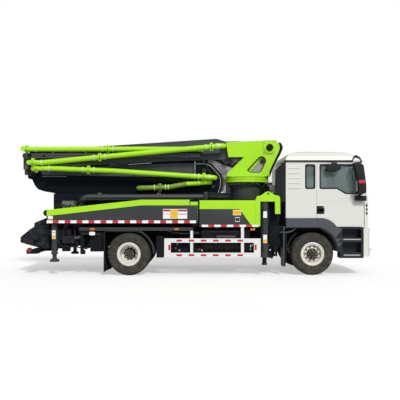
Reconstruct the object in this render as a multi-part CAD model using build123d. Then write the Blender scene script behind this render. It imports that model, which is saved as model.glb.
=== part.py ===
from build123d import *
import math
import os

os.makedirs("parts", exist_ok=True)

# Concrete pump truck on two axles with a four-section folding placing boom.
# Millimetres. X points forward, Y to the vehicle's left, Z up. The ground is Z 0 and the origin
# lies under the middle of the whole vehicle. Right-hand pieces have negative Y.

# Wheels and axles
FRONT_AXLE_X = 3080.0
REAR_AXLE_X = -1620.0
TYRE_R = 545.0
TYRE_W = 304.0
FRONT_WHEEL_Y = 1040.0
REAR_OUTER_Y = 1100.0
REAR_INNER_Y = 760.0
KINGPIN_Y = 860.0
WHEEL_Z = TYRE_R

# Chassis
RAIL_IN, RAIL_OUT = 350.0, 430.0
RAIL_BOTTOM, RAIL_TOP = 790.0, 1050.0
SUBFRAME_TOP = 1232.0
FRAME_REAR, FRAME_FRONT = -3740.0, 4330.0
SIDE_Y = 1250.0

# Cab
CAB_REAR = 2395.0
CAB_SIDE_Y = 1200.0
DOOR_WALL = 56.0
FLOOR_BOTTOM, FLOOR_TOP = 1250.0, 1300.0
DRIP_Z = 2909.0
DOOR_HINGE = (4394.0, -1194.0)

# Slewing column and boom
SLEW_X = 1502.0
PEDESTAL_R, PEDESTAL_TOP = 425.0, 2420.0
RING_R, RING_TOP = 611.0, 2580.0
CHEEK_IN, CHEEK_OUT = 380.0, 420.0
LIFT_PIVOT = (2090.0, 3362.0)
CYLINDER_BASE = (1900.0, 2680.0)
CYLINDER_EYE = (760.0, 3095.0)
ARM_1_Y = 265.0
ARM_2_Y = 235.0
ARM_3_Y = 170.0
TIP_PIVOT = (-4540.0, 3140.0)
PIPE_R = 68.0
PIPE_BORE = 62.5
END_FLANGE_R = 74.0

# Hopper grid, which lies in the hopper's sloping mouth
GRID_HINGE = (-3840.0, 1345.0)
GRID_DIR = (0.912, 0.410)

# Stabilisers
SWING_PIVOT = (75.0, -1170.0)
REAR_JACK = (-3550.0, -1105.0)
FRONT_JACK = (1856.0, -1130.0)
FRONT_BEAM_LEFT_X = (1940.0, 2100.0)
FRONT_BEAM_RIGHT_X = (1750.0, 1910.0)
FRONT_BEAM_Z = (1480.0, 1820.0)


def block(x0, x1, y0, y1, z0, z1):
    """Box between two corners."""
    return Pos((x0 + x1) / 2, (y0 + y1) / 2, (z0 + z1) / 2) * Box(x1 - x0, y1 - y0, z1 - z0)


def side_plate(points, y0, y1):
    """Outline of (x, z) points carried from y0 to y1."""
    face = make_face(Polyline(*[(x, y0, z) for x, z in points], close=True))
    return extrude(face, amount=y1 - y0, dir=(0, 1, 0))


def cross_plate(points, x0, x1):
    """Outline of (y, z) points carried from x0 to x1."""
    face = make_face(Polyline(*[(x0, y, z) for y, z in points], close=True))
    return extrude(face, amount=x1 - x0, dir=(1, 0, 0))


def flat_plate(points, z0, z1):
    """Outline of (x, y) points carried from z0 to z1."""
    face = make_face(Polyline(*[(x, y, z0) for x, y in points], close=True))
    return extrude(face, amount=z1 - z0, dir=(0, 0, 1))


def bar(start, end, radius):
    """Round bar between two points."""
    a, b = Vector(*start), Vector(*end)
    return extrude(Plane(origin=a, z_dir=b - a) * Circle(radius), amount=(b - a).length)


def across(x, z, y0, y1, radius):
    """Round bar along Y."""
    return bar((x, y0, z), (x, y1, z), radius)


def upright(x, y, z0, z1, radius):
    """Round bar along Z."""
    return bar((x, y, z0), (x, y, z1), radius)


def pipe(points, radius, bend, bore=0):
    """Pipe along straight runs joined by bends, solid where its bore is 0."""
    path = FilletPolyline(*points, radius=bend)
    solid = sweep((path ^ 0) * Circle(radius), path=path)
    return solid - sweep((path ^ 0) * Circle(bore), path=path) if bore else solid


def turned(profile, x, z):
    """Solid of (y, radius) points turned about the line along Y through x, z."""
    face = make_face(Polyline(*[(x, y, z + r) for y, r in profile], close=True))
    return revolve(face, Axis((x, 0, z), (0, 1, 0)), 360)


def both(solid):
    """The right-hand solid and its mirror image."""
    return solid + mirror(solid, about=Plane.XZ)


def left(solid):
    """Left-hand copy of a right-hand solid."""
    return mirror(solid, about=Plane.XZ)


def ring_points(cx, cz, radius, start, stop, count):
    """Points on an arc, angles in degrees from +X towards +Z."""
    step = (stop - start) / (count - 1)
    angles = [math.radians(start + step * i) for i in range(count)]
    return [(cx + radius * math.cos(a), cz + radius * math.sin(a)) for a in angles]


def chassis():
    """Ladder frame, engine, driveline and axles."""
    nodes = {}
    rail = block(FRAME_REAR, FRAME_FRONT, -RAIL_OUT, -RAIL_IN, RAIL_BOTTOM, RAIL_TOP)
    rail -= block(FRAME_REAR - 1, FRAME_FRONT + 1, -RAIL_OUT + 12, -RAIL_IN + 1,
                  RAIL_BOTTOM + 14, RAIL_TOP - 14)
    frame = both(rail)
    for x in (-3640, -2900, -2300, -1000, -100, 900, 1900, 4150):
        frame += block(x, x + 90, -RAIL_OUT + 13, RAIL_OUT - 13, RAIL_BOTTOM + 30, RAIL_TOP - 30)
    tail = block(-4240, -3990, -1180, 1180, 560, 640)
    tail += both(block(-3992, FRAME_REAR - 1, -RAIL_OUT, -RAIL_IN, 560, 640))
    tail += both(block(-3758, FRAME_REAR - 1, -RAIL_OUT, -RAIL_IN, 560, 900))
    frame += tail
    nodes["chassis_frame"] = frame

    nodes["engine"] = (block(2700, 3900, -300, 300, 640, 1190)
                       + block(2050, 2700, -190, 190, 640, 1000))
    propshaft = bar((2047, 0, 750), (-1400, 0, 590), 46)

    beam = block(FRONT_AXLE_X - 45, FRONT_AXLE_X + 45, -KINGPIN_Y, KINGPIN_Y, 455, 560)
    for side in (-1, 1):
        beam += upright(FRONT_AXLE_X, side * KINGPIN_Y, 485, 600, 48)
        beam -= upright(FRONT_AXLE_X, side * KINGPIN_Y, 440, 660, 23)
        beam -= block(FRONT_AXLE_X - 60, FRONT_AXLE_X + 60, side * KINGPIN_Y - 70,
                      side * KINGPIN_Y + 70, 440, 485)

    housing = across(REAR_AXLE_X, WHEEL_Z, -640, 640, 72)
    housing += Pos(REAR_AXLE_X, 0, WHEEL_Z) * Sphere(215)
    housing -= block(REAR_AXLE_X + 180, REAR_AXLE_X + 300, -300, 300, 300, 900)
    housing += bar((REAR_AXLE_X + 170, 0, 580), (REAR_AXLE_X + 232, 0, 583), 70)
    housing += propshaft

    # axle x, half length, height of the spring seat
    springs = []
    for x, half, seat in ((FRONT_AXLE_X, 700, 560), (REAR_AXLE_X, 760, WHEEL_Z + 68)):
        leaf = side_plate([(x - half, 740), (x - half + 60, 740), (x - 60, seat + 10),
                           (x - 60, seat), (x + 60, seat), (x + 60, seat + 10),
                           (x + half - 60, 740), (x + half, 740), (x + half, RAIL_BOTTOM),
                           (x + half - 70, RAIL_BOTTOM), (x + 90, seat + 110),
                           (x - 90, seat + 110), (x - half + 70, RAIL_BOTTOM),
                           (x - half, RAIL_BOTTOM)], -RAIL_OUT, -RAIL_IN)
        springs.append(both(leaf))
    nodes["front_axle"] = beam + springs[0]
    nodes["rear_axle"] = housing + springs[1]
    return nodes


def tyre(y, x):
    """One tyre centred on y."""
    half = TYRE_W / 2
    # offset from the wheel's middle plane, radius
    shape = [(-118, 256), (-118, 279), (-140, 290), (-half, 350), (-half, 440), (-140, 508),
             (-108, 536), (-60, TYRE_R), (60, TYRE_R), (108, 536), (140, 508), (half, 440),
             (half, 350), (140, 290), (118, 279), (118, 256)]
    return turned([(y + w, r) for w, r in shape], x, WHEEL_Z)


def rim_barrel(y, x):
    """Rim well with its two flanges."""
    shape = [(-136, 236), (-136, 276), (-119, 276), (-119, 255), (119, 255), (119, 276),
             (136, 276), (136, 236)]
    return turned([(y + w, r) for w, r in shape], x, WHEEL_Z)


def wheels():
    """Tyres, rims with their hubs, and steering knuckles."""
    nodes = {}
    y = -FRONT_WHEEL_Y
    hub = turned([(y + 90, 46), (y + 90, 200), (y - 8, 200), (y - 8, 238), (y - 30, 238),
                  (y - 105, 140), (y - 125, 132), (y - 125, 78), (y - 168, 70), (y - 168, 0),
                  (y - 120, 0), (y - 120, 46)], FRONT_AXLE_X, WHEEL_Z)
    front_rim = rim_barrel(y, FRONT_AXLE_X) + hub
    for i in range(10):
        a = math.radians(36 * i)
        cx = FRONT_AXLE_X + 188 * math.cos(a)
        cz = WHEEL_Z + 188 * math.sin(a)
        front_rim -= across(cx, cz, y - 110, y - 12, 24)
    nodes["front_tyre_right"] = tyre(y, FRONT_AXLE_X)
    nodes["front_rim_right"] = front_rim

    outer, inner = -REAR_OUTER_Y, -REAR_INNER_Y
    rear_hub = turned([(-652, 0), (-652, 205), (-860, 205), (-860, 238), (-990, 238),
                       (-1000, 228), (-1000, 120), (-1085, 105), (-1085, 0)],
                      REAR_AXLE_X, WHEEL_Z)
    rear_rim = rim_barrel(outer, REAR_AXLE_X) + rim_barrel(inner, REAR_AXLE_X) + rear_hub
    nodes["rear_rims_right"] = rear_rim
    nodes["rear_tyres_right"] = tyre(outer, REAR_AXLE_X) + tyre(inner, REAR_AXLE_X)

    kx, ky = FRONT_AXLE_X, -KINGPIN_Y
    knuckle = block(kx - 50, kx + 50, ky - 72, ky + 40, 606, 645)
    knuckle += block(kx - 50, kx + 50, ky - 72, ky + 40, 432, 479)
    knuckle += block(kx - 50, kx + 50, ky - 72, ky - 52, 432, 645)
    knuckle += upright(kx, ky, 432, 645, 22)
    knuckle += across(kx, WHEEL_Z, ky - 290, ky - 60, 44)
    nodes["steering_knuckle_right"] = knuckle

    for name in list(nodes):
        nodes[name.replace("_right", "_left")] = left(nodes[name])
    return nodes


def low_gear():
    """Tanks, guards and mudguards below the deck."""
    nodes = {}
    deck = both(block(FRAME_REAR, 2300, -RAIL_OUT, -RAIL_IN, RAIL_TOP, SUBFRAME_TOP))
    for x in (-3700, -2700, -2350, -400, 30, 700):
        deck += block(x, x + 90, -RAIL_IN + 1, RAIL_IN - 1, 1080, 1190)
    # x start, x end of the side outriggers that carry the deck edge
    for x0, x1 in ((-2880, -2800), (-2350, -2270), (-700, -620), (-60, 18)):
        deck += both(block(x0, x1, -1179, -RAIL_OUT - 1, 1150, 1221))
    deck += both(block(-2888, 18, -1240, -1180, 1146, 1229))
    deck += both(block(-3040, -20, -980, -RAIL_OUT - 1, 1222, 1262))
    px, py = SWING_PIVOT
    post = block(20, 135, -985, -860, 1150, 1985)
    post += block(20, 135, -1250, -980, 1262, 1312) + block(20, 135, -1250, -980, 1945, 1985)
    post += block(20, 135, -870, -RAIL_IN, SUBFRAME_TOP + 1, 1330)
    post += upright(px, py, 1300, 1950, 40)
    deck += both(post)
    nodes["deck_frame"] = deck

    front = ring_points(REAR_AXLE_X, WHEEL_Z, 645, 4, 58, 7)
    shell = front + [(-1420, 1140), (-2200, 1140), (-2264, 1100), (-2264, 95), (-2240, 95),
                     (-2240, 1090), (-2190, 1118), (-1430, 1118)]
    shell += ring_points(REAR_AXLE_X, WHEEL_Z, 620, 58, 4, 7)
    nodes["rear_mudguards"] = both(side_plate(shell, -1240, -600))

    guard = block(-713, 1745, -1245, -1205, 840, 947) + block(-713, 1745, -1245, -1205, 465, 577)
    # x start, x end, top of each post
    for x0, x1, top in ((-713, -550, 947), (-50, 19, 1146), (1243, 1319, 1240), (1574, 1745, 947)):
        guard += block(x0, x1, -1245, -1205, 465, top)
    nodes["side_guards"] = both(guard)

    tank = block(230, 1480, -1170, -560, 620, 1180)
    tank = fillet(tank.edges().filter_by(Axis.X), 90)
    straps = block(400, 460, -1170, -RAIL_OUT, 1180, 1200) + block(1200, 1260, -1170, -RAIL_OUT, 1180, 1200)
    tank += straps + block(400, 460, -560, -RAIL_OUT, 800, 1200)
    tank += block(1200, 1260, -560, -RAIL_OUT, 800, 1200)
    oil = left(block(230, 1480, -1170, -560, 640, 1180)
               + block(400, 1300, -560, -RAIL_OUT, 850, 1000))
    tank += oil
    battery = block(-917, -739, -1210, -760, 457, 993) + block(-880, -780, -760, -RAIL_OUT, 850, 960)
    reservoirs = both(bar((-560, -660, 780), (120, -660, 780), 130))
    reservoirs += both(block(-400, -340, -560, -RAIL_OUT, 800, 860)
                       + block(-100, -40, -560, -RAIL_OUT, 800, 860))
    nodes["side_tanks"] = tank + battery + reservoirs
    return nodes


def cab():
    """Hollow forward-control cab, split at its real panel seams."""
    nodes = {}
    inner_y = CAB_SIDE_Y - DOOR_WALL
    floor = block(CAB_REAR, 4416, -inner_y + 2, inner_y - 2, FLOOR_BOTTOM, FLOOR_TOP)
    nodes["cab_floor"] = floor

    back = block(CAB_REAR, CAB_REAR + 60, -inner_y + 2, inner_y - 2, FLOOR_TOP, DRIP_Z)
    back -= block(CAB_REAR - 5, CAB_REAR + 65, -560, 560, 2250, 2700)
    nodes["cab_back"] = back

    quarter = side_plate([(CAB_REAR, 1466), (3183, 1466), (3183, DRIP_Z), (CAB_REAR, DRIP_Z)],
                         -CAB_SIDE_Y, -inner_y)
    quarter -= block(2896, 3140, -1300, -1000, 2220, 2837)
    nodes["cab_quarter_panels"] = both(quarter)

    nose = side_plate([(4420, FLOOR_TOP - 60), (4500, FLOOR_TOP - 60), (4500, 1950), (4470, 2060),
                       (4215, DRIP_Z), (4135, DRIP_Z), (4392, 2060), (4420, 1950)],
                      -inner_y, inner_y)
    nose -= block(4100, 4600, -1030, 1030, 2110, 2845)
    corner = side_plate([(4408, 1240), (4500, 1240), (4500, 1950), (4470, 2060), (4215, DRIP_Z),
                         (4203, DRIP_Z), (4334, 2052), (4412, 1902)], -CAB_SIDE_Y, -inner_y)
    nodes["cab_front"] = nose + both(corner)

    shell = side_plate([(CAB_REAR, DRIP_Z + 1), (4215, DRIP_Z + 1), (4330, 2925), (4345, 2985),
                        (4180, 3085), (3950, 3180), (3500, 3238), (3000, 3238), (2680, 3190),
                        (2480, 3110), (CAB_REAR, 2990)], -CAB_SIDE_Y - 5, CAB_SIDE_Y + 5)
    crown = cross_plate([(-1205, 2900), (1205, 2900), (1205, 2950), (1150, 3060), (1000, 3165),
                         (600, 3225), (0, 3245), (-600, 3225), (-1000, 3165), (-1150, 3060),
                         (-1205, 2950)], CAB_REAR - 10, 4500)
    roof = shell & crown
    roof -= block(CAB_REAR + 62, 4100, -1080, 1080, 2900, 3050)
    nodes["cab_roof"] = roof

    # windscreen, rear window and quarter windows, each 6 thick in the middle of its opening
    screen = side_plate([(4433, 2112), (4441, 2112), (4198, 2843), (4190, 2843)], -1028, 1028)
    glass = screen + block(CAB_REAR + 26, CAB_REAR + 34, -558, 558, 2252, 2698)
    glass += both(block(2898, 3138, -1176, -1168, 2222, 2835))
    nodes["cab_glass"] = glass

    seats = None
    for y in (-620, 620):
        seat = (block(3000, 3480, y - 250, y + 250, 1560, 1700)
                + block(2900, 3040, y - 240, y + 240, 1640, 2300)
                + block(2920, 3020, y - 140, y + 140, 2300, 2480)
                + block(3040, 3420, y - 200, y + 200, FLOOR_TOP, 1560))
        seats = seat if seats is None else seats + seat
    dash = side_plate([(4000, 1760), (4000, 1950), (4180, 2080), (4385, 2055), (4414, 1950),
                       (4414, FLOOR_TOP), (4300, FLOOR_TOP), (4200, 1700)], -1100, 1100)
    dash += block(2500, 3900, -290, 290, FLOOR_TOP, 1480)
    dash = dash + seats
    wheel_rim = Torus(225, 16)
    spokes = Box(440, 40, 16) + Box(40, 440, 16) + Cylinder(60, 30)
    column = Pos(0, 0, -135) * Cylinder(30, 260)
    wheel = (wheel_rim + spokes + column).rotate(Axis.Y, -28)
    nodes["cab_interior"] = dash + wheel.moved(Location((3830, 620, 2110)))

    half_bumper = [(4640, 0), (4634, 400), (4612, 800), (4575, 1090), (4490, 1240), (4374, 1240),
                   (4374, 1180), (4440, 1150), (4440, 0)]
    bumper = flat_plate(half_bumper + [(x, -y) for x, y in half_bumper[-2:0:-1]], 478, 1210)
    bumper -= both(block(4540, 4700, -1010, -700, 690, 900))
    bumper -= block(4605, 4700, -560, 560, 700, 1060)
    bumper += both(block(FRAME_FRONT, 4445, -RAIL_OUT, -RAIL_IN, 800, 1000))
    nodes["bumper"] = bumper
    lamps = both(block(4540, 4584, -1008, -702, 692, 898))
    lamps += both(block(-4262, -4240, -1160, -880, 570, 650))
    nodes["lamps"] = lamps

    grille = None
    for i in range(6):
        z = 1330 + i * 92
        slat = side_plate([(4500, z), (4522, z), (4530, z + 46), (4500, z + 66)], -900, 900)
        grille = slat if grille is None else grille + slat
    grille += both(block(4500, 4512, -930, -900, 1320, 1870)) + block(4500, 4510, -20, 20, 1320, 1870)
    nodes["grille"] = grille

    # arch over the front wheel, with the step box in front of it
    flare = side_plate([(2402, 1236), (2402, 1460)] + ring_points(3290, 980, 480, 90, 33, 8)
                       + [(3790, 1230), (3790, 600), (3762, 600), (3734, 711), (3693, 825),
                          (3642, 943), (3565, 1056), (3433, 1160), (3282, 1236)],
                       -1240, -inner_y - 2)
    liner = side_plate([(2330, 1210), (3275, 1210), (3550, 1035), (3670, 825), (3740, 600),
                        (3785, 600), (3735, 832), (3605, 1066), (3294, 1249), (2330, 1249)],
                       -1170, -700)
    flap = block(2330, 2352, -1220, -800, 220, 1232)
    step = block(3775, 4370, -1240, -960, 445, 1234)
    step -= block(3830, 4310, -1250, -1040, 590, 850)
    step -= block(3830, 4310, -1250, -1040, 960, 1190)
    step += block(3860, 3940, -975, -RAIL_OUT, 850, 960)
    step += block(4200, 4280, -975, -RAIL_OUT, 850, 960)
    nodes["front_wings"] = both(flare + liner + flap + step)

    intake = side_plate([(2148, 1900), (2383, 1900), (2383, 2940), (2148, 2700)], -1185, -1010)
    nodes["air_intake"] = intake
    return nodes


def doors():
    """Cab doors with their glass and mirrors."""
    nodes = {}
    inner_y = CAB_SIDE_Y - DOOR_WALL
    door = side_plate([(3189, 1467)] + ring_points(3290, 980, 487, 90, 33, 8)
                      + [(3728, 1246), (4402, 1246), (4402, 1900), (4319, 2050), (4189, 2903),
                         (3189, 2903)], -CAB_SIDE_Y, -inner_y)
    window = side_plate([(3264, 2220), (3701, 2220), (3924, 2090), (4266, 2090), (4142, 2835),
                         (3264, 2835)], -1300, -1000)
    door -= window
    door += block(3190, 3380, -1222, -CAB_SIDE_Y, 1640, 1700)
    for z in (1340, 1760):
        door += upright(DOOR_HINGE[0], DOOR_HINGE[1], z, z + 110, 10)
    nodes["door_glass_right"] = side_plate([(3267, 2223), (3702, 2223), (3925, 2093), (4263, 2093),
                                            (4139, 2832), (3267, 2832)], -1176, -1168)
    mirror_set = block(4200, 4290, -1470, -1300, 2180, 2790)
    mirror_set += block(4200, 4290, -1470, -1300, 2070, 2160)
    mirror_set += bar((4240, -1215, 2010), (4240, -1390, 2075), 20)
    mirror_set += upright(4240, -1380, 2150, 2200, 14)
    mirror_set += bar((4165, -1190, 2870), (4240, -1340, 2780), 12)
    mirror_set += block(4150, 4310, -1230, -CAB_SIDE_Y, 1940, 2040)
    nodes["door_right"] = door + mirror_set
    for name in list(nodes):
        nodes[name.replace("_right", "_left")] = left(nodes[name])
    return nodes


def deck():
    """Base of the slewing column, tanks, side boxes, hopper and fixed pipe."""
    nodes = {}
    base = block(960, 1610, -620, 620, SUBFRAME_TOP, 1900)
    base += upright(SLEW_X, 0, 1900, PEDESTAL_TOP, PEDESTAL_R)
    for a in range(0, 360, 45):
        rib = block(SLEW_X + PEDESTAL_R - 20, SLEW_X + PEDESTAL_R + 70, -15, 15, 2300, 2400)
        base += rib.rotate(Axis((SLEW_X, 0, 0), (0, 0, 1)), a)
    base += upright(SLEW_X, 0, 2395, PEDESTAL_TOP, 520)
    nodes["pedestal"] = base

    # welded plates round the two tunnels of the beams, and an end with a lug on each side
    z0, z1 = FRONT_BEAM_Z
    x_rear, x_middle = FRONT_BEAM_RIGHT_X
    x_front = FRONT_BEAM_LEFT_X[1]
    roof = block(1612, 2245, -1011, 1011, z1 + 6, 1900)
    roof -= upright(SLEW_X, 0, z1, 2000, PEDESTAL_R + 1)
    housing = roof + block(1612, 2245, -1011, 1011, 1258, z0 - 6)
    for x0, x1 in ((1612, x_rear - 5), (x_middle + 5, FRONT_BEAM_LEFT_X[0] - 5), (x_front + 5, 2245)):
        housing += block(x0, x1, -1011, 1011, z0 - 5, z1 + 5)
    lug = [(1612, 1258), (1612, 1928), (1650, 2023), (1758, 2048), (1867, 2130), (1934, 2150),
           (2015, 2117), (2084, 2064), (2206, 2036), (2240, 1982), (2245, 1574), (2100, 1574),
           (2100, 1258)]
    end = side_plate(lug, -SIDE_Y, -1190) + block(1612, 1734, -1195, -1012, 1258, 1900)
    end += block(2113, 2245, -1195, -1012, 1600, 1900) + block(1612, 2245, -1195, -1012, 1891, 1900)
    end -= across(1934, 2088, -1300, -1100, 26)
    end -= block(1735, 2112, -1300, -1012, 1200, 1890)
    housing += both(end) + both(block(1640, 2230, -RAIL_OUT, -RAIL_IN, SUBFRAME_TOP, 1257))
    nodes["front_stabiliser_housing"] = housing

    side = side_plate([(185, 1921), (1610, 1921), (1610, 1258), (1490, 1258), (1490, 1299),
                       (1209, 1699), (185, 1699)], -SIDE_Y, -1000)
    side += block(1000, 1100, -1000, -620, 1720, 1900)
    locker = side_plate([(185, 1309), (1480, 1309), (1205, 1697), (185, 1697)], -1246, -700)
    locker += block(185, 1486, -1246, -1190, 1240, 1309)
    locker += block(400, 480, -1180, -RAIL_OUT, SUBFRAME_TOP, 1309)
    locker += block(860, 940, -1180, -RAIL_OUT, SUBFRAME_TOP, 1309)
    nodes["side_boxes"] = both(side + locker)

    tank = block(-3740, -3050, -520, 520, 1620, 2105)
    tank += both(block(-3740, -3640, -RAIL_OUT, -RAIL_IN, SUBFRAME_TOP, 1620))
    tank += both(block(-3150, -3050, -RAIL_OUT, -RAIL_IN, SUBFRAME_TOP, 1620))
    tank += side_plate([(-3416, 1714), (-3052, 1714), (-3090, 1912), (-3380, 1912)], -1000, -700)
    tank += block(-3300, -3200, -700, -520, 1800, 1880)
    nodes["water_tank"] = tank

    pumps = None
    for y in (-190, 190):
        line = bar((-3755, y, 1340), (-1500, y, 1420), 135)
        line += bar((-1500, y, 1420), (-300, y, 1462), 85)
        pumps = line if pumps is None else pumps + line
    pumps += block(-1620, -1420, -420, 420, SUBFRAME_TOP, 1580)
    pumps += block(-340, -260, -420, 420, SUBFRAME_TOP, 1560)
    nodes["pump_cylinders"] = pumps

    nodes["deck_boxes"] = (block(-1000, -200, 450, 900, 1262, 1850)
                           + block(-2950, -1700, 450, 900, 1262, 1700))

    outline = [(-4505, 826), (-4495, 967), (-4231, 1182), (-4032, 1290), (-3800, 1420),
               (-3760, 1420), (-3760, 700), (-3849, 650), (-4032, 690), (-4312, 768)]
    inside = [(-4475, 850), (-4465, 950), (-4210, 1170), (-4020, 1280), (-3850, 1420), (-3790, 1440),
              (-3790, 760), (-3860, 690), (-4040, 720), (-4300, 795)]
    hopper = side_plate(outline, -900, 900)
    hopper -= side_plate(inside, -870, 870)
    hopper -= side_plate([(-4500, 960), (-4240, 1176), (-4035, 1283), (-3795, 1412), (-3795, 1600),
                          (-4600, 1600), (-4600, 960)], -870, 870)
    hopper += both(side_plate([(-4150, 1210), (-3830, 1380), (-3815, 1470), (-4132, 1336)],
                              -900, -885))
    nodes["hopper"] = hopper

    lid = None
    hx, hz = GRID_HINGE
    # distance from the hinge down the hopper's mouth
    for d in range(60, 660, 90):
        cross = bar((hx - d * GRID_DIR[0], -840, hz - d * GRID_DIR[1]),
                    (hx - d * GRID_DIR[0], 840, hz - d * GRID_DIR[1]), 12)
        lid = cross if lid is None else lid + cross
    for y in range(-840, 841, 120):
        lid += bar((hx, y, hz), (hx - 640 * GRID_DIR[0], y, hz - 640 * GRID_DIR[1]), 12)
    lid += across(hx, hz, -855, 855, 16)
    nodes["hopper_grid"] = lid

    run = [(-3757, -610, 900), (-3560, -610, 900), (-2880, -610, 2018), (500, -610, 2018),
           (1060, -120, 2018)]
    nodes["deck_pipe"] = pipe(run, PIPE_R, 180)
    return nodes


def stabilisers():
    """Rear swing arms, front beams and the four jacks."""
    nodes = {}
    px, py = SWING_PIVOT
    arm = side_plate([(-3712, 1520), (-3712, 1673), (-1300, 1936), (143, 1936), (143, 1400),
                      (-60, 1400), (-160, 1700), (-700, 1793), (-1300, 1793)], -1246, -1020)
    arm -= upright(px, py, 1300, 2000, 41)
    jx, jy = REAR_JACK
    leg = upright(jx, jy, 534, 1530, 73)
    arm += leg + block(jx - 60, jx + 60, jy - 73, jy + 73, 1400, 1600)
    arm -= upright(jx, jy, 400, 1480, 60)
    skirt = side_plate([(-3712, 1320), (-3712, 1519), (-1300, 1792), (138, 1792), (138, 1320)],
                       -1248, -1215)
    arm += skirt
    nodes["rear_swing_arm_right"] = arm
    nodes["rear_jack_right"] = upright(jx, jy, 390, 1400, 54) + upright(jx, jy, 350, 398, 115)

    fx, fy = FRONT_JACK
    z0, z1 = FRONT_BEAM_Z
    x0, x1 = FRONT_BEAM_RIGHT_X
    collar = upright(fx, fy, 457, 1885, 98)
    beam = block(x0, x1, -1040, 900, z0, z1) + collar
    beam += block(x0, fx + 98, fy, -1020, z0 + 10, z1 - 10)
    beam -= upright(fx, fy, 400, 1800, 62)
    nodes["front_beam_right"] = beam
    x0, x1 = FRONT_BEAM_LEFT_X
    collar = upright(fx, -fy, 457, 1885, 98)
    beam = block(x0, x1, -900, 1040, z0, z1) + collar
    beam += block(fx - 98, x1, 1020, -fy, z0 + 10, z1 - 10)
    beam -= upright(fx, -fy, 400, 1800, 62)
    nodes["front_beam_left"] = beam
    jack = upright(fx, fy, 263, 1500, 56)
    nodes["front_jack_right"] = jack
    nodes["front_jack_left"] = left(jack)
    for name in ("rear_swing_arm_right", "rear_jack_right"):
        nodes[name.replace("_right", "_left")] = left(nodes[name])
    return nodes


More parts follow.
